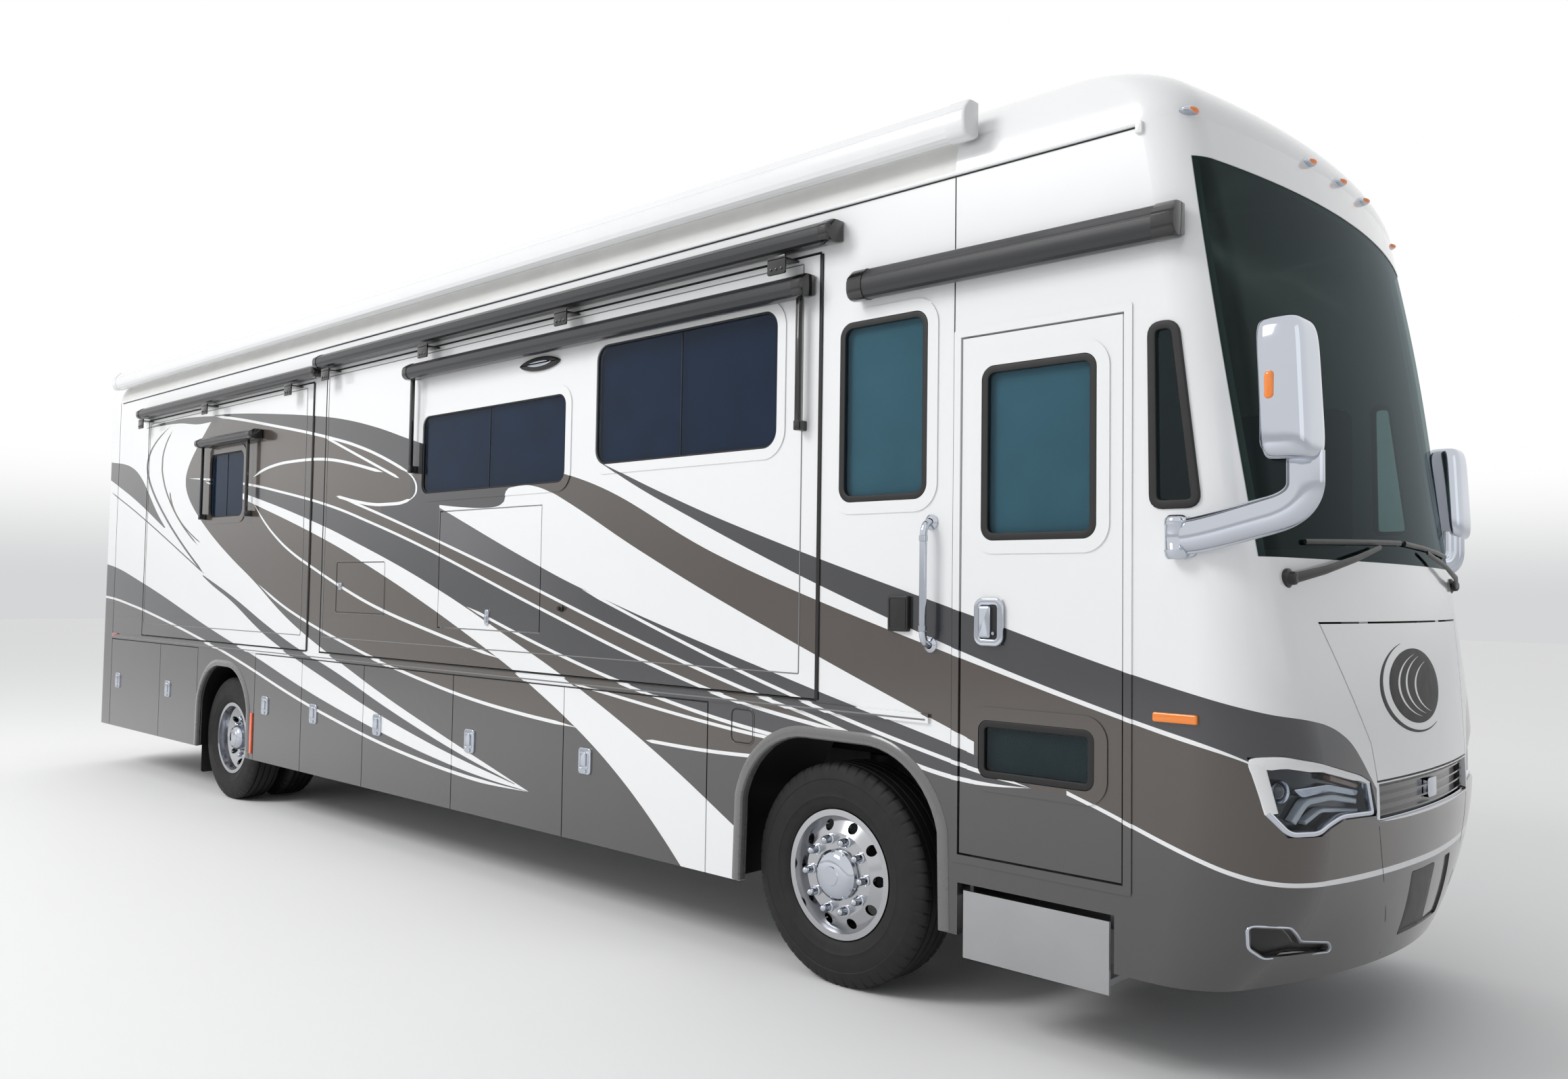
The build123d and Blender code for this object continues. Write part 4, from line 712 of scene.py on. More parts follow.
FINISHES: dict[str, Finish] = {
    "body_paint": CoachPaint(),
    "roof_skin": Moulding(linear(232, 232, 229), roughness=0.4),
    "awning_white": Moulding(linear(236, 237, 238), roughness=0.25, cloud=0.05, grain=0.00005, coat=0.5),
    "awning_dark": Moulding(linear(42, 43, 46), roughness=0.3, cloud=0.12, coat=0.2),
    "frame_steel": Moulding(linear(26, 26, 27), roughness=0.6, cloud=0.4, grain=0.0004),
    "floor_panel": Moulding(linear(112, 113, 115), roughness=0.5, metallic=0.7, cloud=0.3),
    "engine_iron": Moulding(linear(120, 34, 26), roughness=0.7, grain=0.0008, grain_scale=220.0, cloud=0.4),
    "tinted_glass": TintedGlass(),
    # The faint blue in the chrome's tint is painted reflection of a blue sky.
    "chrome": Moulding(linear(196, 201, 210), roughness=0.08, metallic=1.0, cloud=0.06, grain=0.00002),
    "wheel_alloy": Moulding(linear(186, 187, 190), roughness=0.16, metallic=1.0, cloud=0.08, grain=0.00003),
    "tyre_rubber": Moulding(linear(15, 15, 16), roughness=0.7, grain=0.0004, grain_scale=300.0, cloud=0.3),
    "lamp_plastic": Moulding(linear(190, 193, 197), roughness=0.08, metallic=0.6, coat=1.0, cloud=0.2, grain=0.0002),
    "black_plastic": Moulding(linear(24, 24, 25), roughness=0.4, cloud=0.3),
    "cab_trim": Moulding(linear(62, 57, 52), roughness=0.75, grain=0.0005, grain_scale=600.0),
    "seat_leather": Moulding(linear(150, 134, 114), roughness=0.5, grain=0.0006, grain_scale=350.0),
    "step_metal": Moulding(linear(180, 181, 183), roughness=0.3, metallic=1.0, stretch=(1.0, 12.0, 1.0)),
    "gloss_black": Moulding(linear(20, 20, 21), roughness=0.18, cloud=0.2, grain=0.00004, coat=0.6),
    "rubber_seal": Moulding(linear(18, 18, 19), roughness=0.55, cloud=0.3),
    # Grey of the slide flanges, and of the painted highlight strip along the rub rail.
    "joint_and_highlight_grey": Moulding(linear(128, 128, 129), roughness=0.4, cloud=0.2),
    "lip_silver": Moulding(linear(106, 105, 105), roughness=0.28, cloud=0.08, grain=0.00005, coat=0.7),
    "blind_dark": Moulding(linear(66, 100, 145), roughness=0.8, grain=0.0002, grain_scale=70.0, cloud=0.5),
    "blind_pale": Moulding(linear(136, 176, 190), roughness=0.8, cloud=0.25, grain=0.0002, grain_scale=70.0, stretch=(0.2, 0.2, 1.0)),
    "blind_grey": Moulding(linear(66, 73, 72), roughness=0.8, cloud=0.3, grain=0.0002, grain_scale=70.0),
    "mirror_glass": Moulding(linear(150, 160, 174), roughness=0.03, metallic=1.0, cloud=0.05, grain=0.00001),
    "amber_lens": Moulding(
        linear(255, 138, 24), roughness=0.12, cloud=0.25, grain=0.0006, grain_scale=160.0, coat=1.0, stretch=(0.2, 1.0, 0.2),
    ),
    "amber_dull": Moulding(linear(120, 74, 40), roughness=0.2, cloud=0.3, grain=0.0005, grain_scale=200.0, coat=1.0),
    "red_lens": Moulding(linear(168, 18, 16), roughness=0.12, cloud=0.25, grain=0.0006, grain_scale=160.0, coat=1.0),
    "orange_reflector": Moulding(linear(255, 96, 22), roughness=0.25, cloud=0.15, grain=0.0008, grain_scale=260.0, coat=1.0),
    "clear_lens": Moulding(linear(205, 210, 216), roughness=0.14, cloud=0.2, grain=0.0008, grain_scale=120.0, coat=1.0),
    "dark_lens": Moulding(linear(24, 30, 38), roughness=0.03, cloud=0.2, grain=0.00001, coat=1.0),
    "clear_cover": TintedGlass(tint=linear(246, 248, 250)),
    "slide_pane": TintedGlass(tint=linear(198, 206, 212)),
    "screen_pane": TintedGlass(tint=linear(168, 182, 178), shine=linear(140, 150, 154)),
}

NODE_FINISHES = {
    "grille": "gloss_black",
    "windscreen": "screen_pane",
    "slide_rear_right_glass": "slide_pane",
    "slide_mid_right_glass": "slide_pane",
    "slide_left_glass": "slide_pane",
}


class Skin:
    """A surface that flat outlines are laid on."""

    def place(self, across: np.ndarray, rise: np.ndarray, proud: np.ndarray) -> np.ndarray:
        """Points in space, with x, y and z on the last axis, at places, heights and distances out of the surface."""
        raise NotImplementedError

    def spot(self, across: float, rise: float, proud: float) -> np.ndarray:
        """One such point."""
        return self.place(np.array([across]), np.array([rise]), np.array([proud]))[0]


@dataclass(frozen=True)
class SideSkin(Skin):
    """The outer face of a side wall. Places along it are x."""

    sign: float = -1.0

    def place(self, across: np.ndarray, rise: np.ndarray, proud: np.ndarray) -> np.ndarray:
        """Points at x = across, y = the half width plus proud and z = rise."""
        return np.stack([across, self.sign * (HALF_WIDTH + proud), rise], axis=-1)


@dataclass(frozen=True)
class CrossSkin(Skin):
    """A flat plane across the body. Places along it are y, and it faces forward or back."""

    x: float
    facing: float = 1.0

    def place(self, across: np.ndarray, rise: np.ndarray, proud: np.ndarray) -> np.ndarray:
        """Points at x plus proud in the facing direction, y = across and z = rise."""
        return np.stack([self.x + self.facing * proud, across, rise], axis=-1)


@dataclass(frozen=True)
class PlanSkin(Skin):
    """An upright front that follows one plan: a bowed front arc that meets a smaller arc at each corner."""

    back: float = 0.0066
    corner: float = 0.3803
    bow: float = 4.729

    def normals(self, across: np.ndarray) -> tuple[np.ndarray, ...]:
        """The arc that each place lies on and the way out of it.

        The front arc has radius bow about the middle line. The corner arc touches it from inside, so its centre
        lies bow - corner from the front arc's centre and corner in from the side.

        Args:
            across: Places over the width.

        Returns:
            Centre x, centre y, radius, and the two parts of the outward direction.
        """
        centre = NOSE_X - self.back - self.bow
        corner_y = HALF_WIDTH - self.corner
        corner_x = centre + math.sqrt((self.bow - self.corner) ** 2 - corner_y**2)
        meet = corner_y * self.bow / (self.bow - self.corner)
        front = np.abs(across) < meet
        radius = np.where(front, self.bow, self.corner)
        middle_x = np.where(front, centre, corner_x)
        middle_y = np.where(front, 0.0, np.sign(across) * corner_y)
        turn = np.clip((across - middle_y) / radius, -0.999, 0.999)
        return middle_x, middle_y, radius, np.sqrt(1.0 - turn**2), turn

    def place(self, across: np.ndarray, rise: np.ndarray, proud: np.ndarray) -> np.ndarray:
        """Points on the arcs, moved out along the arcs' radius."""
        middle_x, middle_y, radius, ahead, aside = self.normals(across)
        return np.stack([middle_x + (radius + proud) * ahead, middle_y + (radius + proud) * aside, rise], axis=-1)


class CastSkin(Skin):
    """The real front of the CAD nodes, found by looking backwards along x."""

    def __init__(self, nodes: dict, *names: str) -> None:
        """Gathers the nodes' faces.

        Args:
            nodes: The CAD objects by name.
            *names: The nodes to look at.
        """
        points, faces = [], []
        for name in names:
            mesh = nodes[name].data
            faces.extend(tuple(index + len(points) for index in face.vertices) for face in mesh.polygons)
            points.extend(vertex.co.copy() for vertex in mesh.vertices)
        self.tree = BVHTree.FromPolygons(points, faces)
        self.plan = PlanSkin()

    def place(self, across: np.ndarray, rise: np.ndarray, proud: np.ndarray) -> np.ndarray:
        """Points where the line of sight meets the nodes, moved out across the front's plan.

        Args:
            across: Places over the width.
            rise: Heights.
            proud: Distance out of the front.

        Returns:
            The points.
        """
        across, rise, proud = np.broadcast_arrays(across, rise, proud)
        out = np.zeros(across.shape + (3,))
        _, _, _, ahead, aside = self.plan.normals(across)
        for index in np.ndindex(across.shape):
            hit = self.tree.ray_cast(Vector((8.0, across[index], rise[index])), Vector((-1.0, 0.0, 0.0)))[0]
            x = hit.x if hit else NOSE_X - 0.1
            out[index] = (x + proud[index] * ahead[index], across[index] + proud[index] * aside[index], rise[index])
        return out


def rounded_box(x0: float, x1: float, z0: float, z1: float, radius: float, steps: int = 6) -> np.ndarray:
    """Outline of a rectangle with quarter-circle corners.

    Args:
        x0: Low end along the surface.
        x1: High end along the surface.
        z0: Lower edge.
        z1: Upper edge.
        radius: Corner radius.
        steps: Pieces of each quarter circle.

    Returns:
        The points, anticlockwise.
    """
    points = []
    corners = ((x1 - radius, z0 + radius, -90), (x1 - radius, z1 - radius, 0),
               (x0 + radius, z1 - radius, 90), (x0 + radius, z0 + radius, 180))
    for centre_x, centre_z, start in corners:
        for step in range(steps + 1):
            angle = math.radians(start + 90.0 * step / steps)
            points.append((centre_x + radius * math.cos(angle), centre_z + radius * math.sin(angle)))
    return np.array(points)


def whole_turn(count: int) -> np.ndarray:
    """Angles of a whole turn in even steps."""
    return np.linspace(0.0, 2.0 * math.pi, count, endpoint=False)


def circle(radius: float, count: int = 16, squash: float = 1.0) -> np.ndarray:
    """Points of a circle or ellipse about zero.

    Args:
        radius: Its radius.
        count: How many points.
        squash: Height over width.

    Returns:
        The points, anticlockwise.
    """
    angles = whole_turn(count)
    return np.stack([radius * np.cos(angles), squash * radius * np.sin(angles)], axis=-1)


def soften(points: Sequence[Sequence[float]], reach: float, closed: bool = True, steps: int = 5) -> np.ndarray:
    """Rounds the corners of a line. Each corner becomes a parabola between points at most reach away from it.

    Args:
        points: The corners, in two or three dimensions.
        reach: How far from the corner the rounding starts.
        closed: True for an outline, false for a path whose ends stay.
        steps: Pieces of each rounding.

    Returns:
        The rounded line.
    """
    corners = np.array(points, dtype=float)
    count = len(corners)
    out = []
    for index, corner in enumerate(corners):
        if not closed and index in (0, count - 1):
            out.append(corner)
            continue
        before, after = corners[index - 1] - corner, corners[(index + 1) % count] - corner
        start = corner + before * min(reach / np.linalg.norm(before), 0.45)
        end = corner + after * min(reach / np.linalg.norm(after), 0.45)
        for share in np.linspace(0.0, 1.0, steps + 1):
            out.append(start * (1 - share) ** 2 + 2 * corner * share * (1 - share) + end * share**2)
    return np.array(out)


def outward(outline: np.ndarray, closed: bool = True) -> np.ndarray:
    """The way out at each point of an anticlockwise outline, scaled so that an offset keeps its width at corners.

    Args:
        outline: The points.
        closed: False for a path, whose way out is to the right of travel.

    Returns:
        One direction for each point.
    """
    if closed:
        before, after = outline - np.roll(outline, 1, axis=0), np.roll(outline, -1, axis=0) - outline
    else:
        steps = np.diff(outline, axis=0)
        before, after = np.vstack([steps[:1], steps]), np.vstack([steps, steps[-1:]])
    ways = []
    for step in (before, after):
        length = np.maximum(np.linalg.norm(step, axis=1, keepdims=True), 1e-9)
        ways.append(np.stack([step[:, 1], -step[:, 0]], axis=-1) / length)
    middle = ways[0] + ways[1]
    length = np.maximum((middle**2).sum(axis=1, keepdims=True) / 2.0, 0.5)
    return middle / length


def anticlockwise(outline: np.ndarray) -> np.ndarray:
    """Turns an outline so that it runs anticlockwise, which the way out depends on.

    Args:
        outline: The points.

    Returns:
        The same points in the right order.
    """
    after = np.roll(outline, -1, axis=0)
    area = (outline[:, 0] * after[:, 1] - after[:, 0] * outline[:, 1]).sum()
    return outline if area > 0 else outline[::-1]


def on_side(points: Curve, sign: float, reach: float) -> np.ndarray:
    """Outline with soft corners on one side of the middle.

    Args:
        points: Distances from the middle and heights.
        sign: Side.
        reach: How far from each corner the rounding starts.

    Returns:
        The outline, anticlockwise.
    """
    return anticlockwise(soften([(sign * y, z) for y, z in points], reach))


def bar_section(inner: float, outer: float, low: float, high: float, radius: float) -> np.ndarray:
    """Section of a strip with rounded upper edges, as offset and height pairs.

    Args:
        inner: Offset of its inner side.
        outer: Offset of its outer side.
        low: Height of its foot.
        high: Height of its top.
        radius: Radius of the upper edges.

    Returns:
        The section's points.
    """
    out = [(inner, low), (outer, low)]
    for centre, start in ((outer - radius, 0), (inner + radius, 90)):
        for angle in (0, 30, 60, 90):
            turn = math.radians(start + angle)
            out.append((centre + radius * math.cos(turn), high - radius + radius * math.sin(turn)))
    return np.array(out)


class PieceMesh:
    """Gathers the faces of one piece of the visual model."""

    def __init__(self, name: str) -> None:
        """Starts empty.

        Args:
            name: Name of the piece.
        """
        self.name = name
        self.points: list[np.ndarray] = []
        self.faces: list[tuple[int, ...]] = []
        self.count = 0

    def add(self, points: np.ndarray, faces: list[tuple[int, ...]]) -> None:
        """Adds faces over new points.

        Args:
            points: The points, one a row.
            faces: Indices into them.
        """
        self.faces.extend(tuple(index + self.count for index in face) for face in faces)
        self.points.append(points)
        self.count += len(points)

    def grid(self, rows: np.ndarray, wrap_rows: bool = False, wrap_columns: bool = False) -> None:
        """Joins a grid of points to quads.

        Args:
            rows: Points in rows and columns.
            wrap_rows: True to join the last row to the first.
            wrap_columns: True to join the last column to the first.
        """
        high, wide = rows.shape[:2]
        faces = []
        for row in range(high if wrap_rows else high - 1):
            for column in range(wide if wrap_columns else wide - 1):
                right, up = (column + 1) % wide, (row + 1) % high
                faces.append((row * wide + column, row * wide + right, up * wide + right, up * wide + column))
        self.add(rows.reshape(-1, 3), faces)

    def lid(self, ring: np.ndarray) -> None:
        """Closes a ring of points with one face."""
        self.add(ring, [tuple(range(len(ring)))])

    def bead(self, skin: Skin, outline: np.ndarray, section: np.ndarray, closed: bool = True, scale: float | np.ndarray = 1.0) -> None:
        """Runs a section along an outline. A point is the outline's point moved out by the section's offset.

        Args:
            skin: What it lies on.
            outline: The outline or path.
            section: Offset and height pairs.
            closed: False for a path with two ends.
            scale: Share of the offsets, one number or one for each point.
        """
        ways = outward(outline, closed) * np.reshape(scale, (-1, 1))
        across = outline[:, None, 0] + ways[:, None, 0] * section[None, :, 0]
        rise = outline[:, None, 1] + ways[:, None, 1] * section[None, :, 0]
        rows = skin.place(across, rise, np.broadcast_to(section[None, :, 1], across.shape))
        self.grid(rows, wrap_rows=closed, wrap_columns=True)
        if not closed:
            self.lid(rows[0])
            self.lid(rows[-1])

    def sheet(self, skin: Skin, outline: np.ndarray, proud: float, pitch: float) -> None:
        """Fills an outline with small triangles that follow the skin.

        Args:
            skin: What it lies on.
            outline: Its edge.
            proud: Distance out of the skin.
            pitch: Spacing of the inner points.
        """
        low, high = outline.min(axis=0), outline.max(axis=0)
        spots = [(float(a), float(b)) for a, b in outline]
        inner = []
        for a in np.arange(low[0] + pitch, high[0], pitch):
            for b in np.arange(low[1] + pitch, high[1], pitch):
                inner.append((float(a), float(b)))
        edges = [(index, (index + 1) % len(spots)) for index in range(len(spots))]
        points, _, faces, *_ = delaunay_2d_cdt([Vector(spot) for spot in spots + inner], edges, [], 1, 1e-6)
        flat = np.array([tuple(point) for point in points])
        self.add(skin.place(flat[:, 0], flat[:, 1], np.full(len(flat), proud)), [tuple(face) for face in faces])

    def plate(self, skin: Skin, outline: np.ndarray, low: float, high: float, bevel: float, pitch: float = 0.0) -> None:
        """A plate with a rounded upper edge. The edge is a quarter circle of radius bevel.

        Args:
            skin: What it lies on.
            outline: Its edge.
            low: Height of its foot.
            high: Height of its top.
            bevel: Radius of the upper edge.
            pitch: Spacing of points in its two faces on a curved skin, or 0 on a flat one.
        """
        ways = outward(outline)
        levels = [(0.0, low), (0.0, high - bevel)]
        for angle in (30, 60, 90):
            turn = math.radians(angle)
            levels.append((-bevel * (1 - math.cos(turn)), high - bevel + bevel * math.sin(turn)))
        rows = []
        for inset, level in levels:
            moved = outline + ways * inset
            rows.append(skin.place(moved[:, 0], moved[:, 1], np.full(len(moved), level)))
        self.grid(np.array(rows), wrap_columns=True)
        if pitch:
            self.sheet(skin, outline, low, pitch)
            self.sheet(skin, outline + ways * levels[-1][0], high, pitch)
        else:
            self.lid(rows[0])
            self.lid(rows[-1])

    def tube(self, path: np.ndarray, section: np.ndarray, first_side: Spot) -> None:
        """Sweeps a section along a path, carrying its sides along without twist.

        Args:
            path: Points of the path.
            section: Two distances for each section point, or one such set for each path point.
            first_side: Which way the section's first distance points at the start.
        """
        path = np.asarray(path, dtype=float)
        section = np.broadcast_to(section, (len(path),) + np.shape(section)[-2:])
        ahead = np.gradient(path, axis=0)
        ahead /= np.linalg.norm(ahead, axis=1, keepdims=True)
        side = np.array(first_side, dtype=float)
        rows = []
        for spot, way, shape in zip(path, ahead, section):
            side = side - way * side.dot(way)
            side /= np.linalg.norm(side)
            other = np.cross(way, side)
            rows.append(spot + shape[:, :1] * side + shape[:, 1:] * other)
        self.grid(np.array(rows), wrap_columns=True)
        self.lid(rows[0])
        self.lid(rows[-1])

    def turned(self, profile: Sequence[Point], centre: Spot, axis: int = 1, sign: float = -1.0, count: int = 48,
               wobble: Callable[[int, np.ndarray], np.ndarray] | None = None) -> None:
        """Turns a profile about an axis: at angle a a point lies r cos a and r sin a off it, and u along it.

        Args:
            profile: Pairs of distance along the axis and radius.
            centre: Where the profile's zero lies.
            axis: 0, 1 or 2 for x, y or z.
            sign: Which way the distance runs.
            count: Steps round.
            wobble: Function of profile index and angles that gives a change of radius, or none.
        """
        angles = whole_turn(count)
        rows = []
        for index, (along, radius) in enumerate(profile):
            reach = radius + (wobble(index, angles) if wobble else 0.0)
            ring = np.zeros((count, 3))
            ring[:, axis] = sign * along
            ring[:, (axis + 1) % 3] = reach * np.cos(angles)
            ring[:, (axis + 2) % 3] = reach * np.sin(angles)
            rows.append(ring + np.array(centre))
        self.grid(np.array(rows), wrap_columns=True)

    def finish(self, sharp: float) -> bpy.types.Object:
        """Makes the object: doubles merged, faces outward, smooth up to an angle.

        Args:
            sharp: Angle in degrees above which an edge shows.

        Returns:
            The new object.
        """
        mesh = bpy.data.meshes.new(self.name)
        mesh.from_pydata(np.concatenate(self.points).tolist(), [], self.faces)
        work = bmesh.new()
        work.from_mesh(mesh)
        bmesh.ops.remove_doubles(work, verts=work.verts, dist=2e-5)
        bmesh.ops.recalc_face_normals(work, faces=work.faces)
        work.to_mesh(mesh)
        work.free()
        mesh.polygons.foreach_set("use_smooth", [True] * len(mesh.polygons))
        mesh.set_sharp_from_angle(angle=math.radians(sharp))
        made = bpy.data.objects.new(self.name, mesh)
        bpy.context.scene.collection.objects.link(made)
        return made


class Workshop:
    """Builds each finish once and turns gathered meshes into pieces that ride on a body."""

    def __init__(self, frame: dict) -> None:
        """Keeps what it needs of the frame.
        """
        self.nodes = frame["nodes"]
        self.slots = {part["node"]: part["material_slot"] for part in frame["record"]["subparts"]}
        self.materials: dict[str, bpy.types.Material] = {}

    def material(self, name: str) -> bpy.types.Material:
        """A finish's material, built when it is first asked for.

        Args:
            name: Name in FINISHES.

        Returns:
            The material.
        """
        if name not in self.materials:
            self.materials[name] = FINISHES[name].build(name)
        return self.materials[name]

    def dress(self) -> None:
        """Puts the materials on the CAD nodes."""
        for name, slot in self.slots.items():
            mesh = self.nodes[name].data
            mesh.materials.clear()
            mesh.materials.append(self.material(NODE_FINISHES.get(name, slot)))
        LOG.info("dressed %d nodes", len(self.slots))

    def add(self, mesh: PieceMesh, finish: str, body: str, replaces: tuple[str, ...] = (), sharp: float = 35.0) -> None:
        """Makes a piece.

        Args:
            mesh: Its gathered faces.
            finish: Name of its finish.
            body: The body that it rides on.
            replaces: The CAD nodes that it stands for.
            sharp: Angle in degrees above which an edge shows.
        """
        made = mesh.finish(sharp)
        made.data.materials.append(self.material(finish))
        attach(made, body)
        if replaces:
            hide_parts(*replaces)
        LOG.info("piece %s: %d faces, %s", mesh.name, len(made.data.polygons), finish)


class Fitting:
    """A part of the visual model. Each kind builds its own pieces."""

    def build(self, shop: Workshop) -> None:
        """Builds the pieces in the shop."""
        raise NotImplementedError


@dataclass(frozen=True)
class Mirrors(Fitting):
    """Two chrome door mirrors on fluted bent arms. Each head is given by front x, lowest z and side."""

    heads: tuple[Spot, ...] = ((6.168, 2.305, -1.0), (5.878, 2.175, 1.0))
    foot: Curve = (
        (0.0, 0.0), (0.0, 0.034), (0.012, 0.042), (0.034, 0.046), (0.037, 0.043),
        (0.125, 0.043), (0.128, 0.046), (0.152, 0.044), (0.164, 0.030), (0.164, 0.0),
    )

    def shell(self, mesh: PieceMesh, front: float, low: float, sign: float) -> None:
        """A rounded head: each coordinate is a sine or cosine raised to a small power, which squares the ball.

        Args:
            mesh: What it is added to.
            front: Its foremost x.
            low: Its lowest z.
            sign: -1 for the right side, 1 for the left.
        """
        up = np.linspace(-0.5 * math.pi, 0.5 * math.pi, 41)[:, None]
        round_ = np.linspace(-math.pi, math.pi, 72, endpoint=False)[None, :]
        squared = lambda value, power: np.sign(value) * np.abs(value) ** power
        rise = squared(np.sin(up), 0.32)
        ring = np.maximum(np.cos(up), 0.0) ** 0.32
        depth = np.maximum(ring * squared(np.cos(round_), 0.62), -0.78)
        width = ring * squared(np.sin(round_), 0.42) * (0.955 - 0.045 * rise)
        x = front - 0.082 + 0.082 * depth - 0.012 * (1.0 + rise)
        y = sign * (1.499 + 0.123 * width)
        z = low + 0.2425 + 0.2405 * np.broadcast_to(rise, width.shape)
        mesh.grid(np.stack([x, y, z], axis=-1), wrap_columns=True)

    def build(self, shop: Workshop) -> None:
        """Builds shells, arms, lamps and glasses.

        Args:
            shop: Where they are made.
        """
        chrome, glass, lamp = PieceMesh("mirror_shells"), PieceMesh("mirror_glasses"), PieceMesh("mirror_lamps")
        angles = whole_turn(72)
        dent = sum(np.exp(-(((angles - at) / 0.11) ** 2)) for at in (0.55, 1.25, 1.9, 2.6))
        section = np.stack([0.068 * np.cos(angles), 0.041 * np.sin(angles)], axis=-1) * (1.0 - 0.09 * dent)[:, None]
        for front, low, sign in self.heads:
            self.shell(chrome, front, low, sign)
            post = front - 0.068
            corners = [(5.585, 1.302, 2.072), (5.70, 1.334, 2.080), (post, 1.432, low - 0.14), (post, 1.432, low + 0.04)]
            path = soften([(x, sign * y, z) for x, y, z in corners], 0.13, closed=False, steps=14)
            order = section if sign > 0 else section * np.array([1.0, -1.0])
            chrome.tube(path, order, (0.0, 0.0, 1.0))
            chrome.turned(self.foot, (5.592, sign * 1.318, 1.99), 2, 1.0, 32)
            chrome.plate(SideSkin(sign), rounded_box(5.548, 5.656, 1.997, 2.148, 0.022), -0.004, 0.022, 0.009)
            pane = rounded_box(*sorted((sign * 1.40, sign * 1.60)), low + 0.04, low + 0.45, 0.03)
            glass.plate(CrossSkin(front - 0.152, -1.0), pane, 0.0, 0.004, 0.002)
            lamp.plate(SideSkin(sign), rounded_box(front - 0.135, front - 0.10, low + 0.20, low + 0.295, 0.015), 0.30, 0.3405, 0.012)
        shop.add(chrome, "chrome", ROOT, ("mirrors",), 50.0)
        shop.add(glass, "mirror_glass", ROOT)
        shop.add(lamp, "amber_lens", ROOT)


@dataclass(frozen=True)
class DoorHardware(Fitting):
    """The entry door's latch, the grab handle and the keypad beside it."""

    def build(self, shop: Workshop) -> None:
        """Builds the three fittings.

        Args:
            shop: Where they are made.
        """
        skin = SideSkin()
        latch, pocket = PieceMesh("door_latch"), PieceMesh("door_latch_pocket")
        latch.bead(skin, rounded_box(4.712, 4.796, 1.664, 1.806, 0.012), bar_section(0.0, 0.030, 0.008, 0.021, 0.006))
        latch.plate(skin, rounded_box(4.708, 4.768, 1.668, 1.802, 0.010), 0.012, 0.031, 0.010)
        latch.turned(((0.0, 0.0), (0.026, 0.0), (0.026, 0.007), (0.012, 0.008)), (4.782, -HALF_WIDTH, 1.688), 1, -1.0, 20)
        pocket.plate(skin, rounded_box(4.712, 4.796, 1.664, 1.806, 0.010), 0.010, 0.0135, 0.001)
        shop.add(latch, "chrome", "entry_door", sharp=50.0)
        shop.add(pocket, "black_plastic", "entry_door")
        handle = PieceMesh("grab_handle")
        y = -HALF_WIDTH
        corners = [(4.447, y + 0.004, 2.165), (4.447, y - 0.062, 2.150), (4.447, y - 0.062, 1.64), (4.447, y + 0.004, 1.625)]
        handle.tube(soften(corners, 0.07, False, 8), circle(0.0165, 20), (1.0, 0.0, 0.0))
        for z in (2.163, 1.627):
            handle.turned(((0.0, 0.0), (0.0, 0.034), (0.006, 0.034), (0.012, 0.026), (0.016, 0.018)), (4.447, y, z), 1, -1.0, 28)
        for z in (2.09, 1.70):
            handle.turned(((-0.014, 0.0165), (-0.012, 0.0195), (0.012, 0.0195), (0.014, 0.0165)), (4.447, y - 0.062, z), 2, 1.0, 20)
        shop.add(handle, "chrome", ROOT, sharp=50.0)
        keypad = PieceMesh("door_keypad")
        keypad.plate(skin, rounded_box(4.222, 4.335, 1.68, 1.84, 0.010), -0.002, 0.024, 0.006)
        keypad.bead(skin, rounded_box(4.236, 4.321, 1.694, 1.826, 0.006), bar_section(0.0, 0.004, 0.02, 0.0265, 0.0015))
        shop.add(keypad, "black_plastic", ROOT)


@dataclass(frozen=True)
class BayLatches(Fitting):
    """A chrome paddle latch with its lock on each compartment door."""

    right: tuple[float, ...] = (-5.82, -4.50, -2.41, -1.56, -0.58, 0.61, 1.81)
    left: tuple[float, ...] = (-2.41, -1.05, 0.31, 1.67)
    lock: Curve = ((0.010, 0.012), (0.018, 0.012), (0.019, 0.009), (0.019, 0.0))

    def build(self, shop: Workshop) -> None:
        """Builds a latch at the place of each door's latch plate.

        Args:
            shop: Where they are made.
        """
        for hand, sign, rears in (("right", -1.0, self.right), ("left", 1.0, self.left)):
            skin = SideSkin(sign)
            for number, rear in enumerate(rears, 1):
                x = rear + 0.215
                mesh = PieceMesh(f"bay_latch_{hand}_{number}")
                mesh.plate(skin, rounded_box(x - 0.055, x + 0.055, 0.792, 0.943, 0.022), 0.0, 0.0125, 0.006)
                mesh.bead(skin, rounded_box(x - 0.034, x + 0.034, 0.826, 0.914, 0.014), bar_section(0.0, 0.007, 0.010, 0.0165, 0.003))
                mesh.plate(skin, rounded_box(x - 0.024, x + 0.024, 0.836, 0.922, 0.010), 0.010, 0.025, 0.009)
                mesh.turned(self.lock, (x + 0.012, sign * HALF_WIDTH, 0.810), 1, sign, 20)
                shop.add(mesh, "chrome", f"bay_door_{hand}_{number}", sharp=50.0)


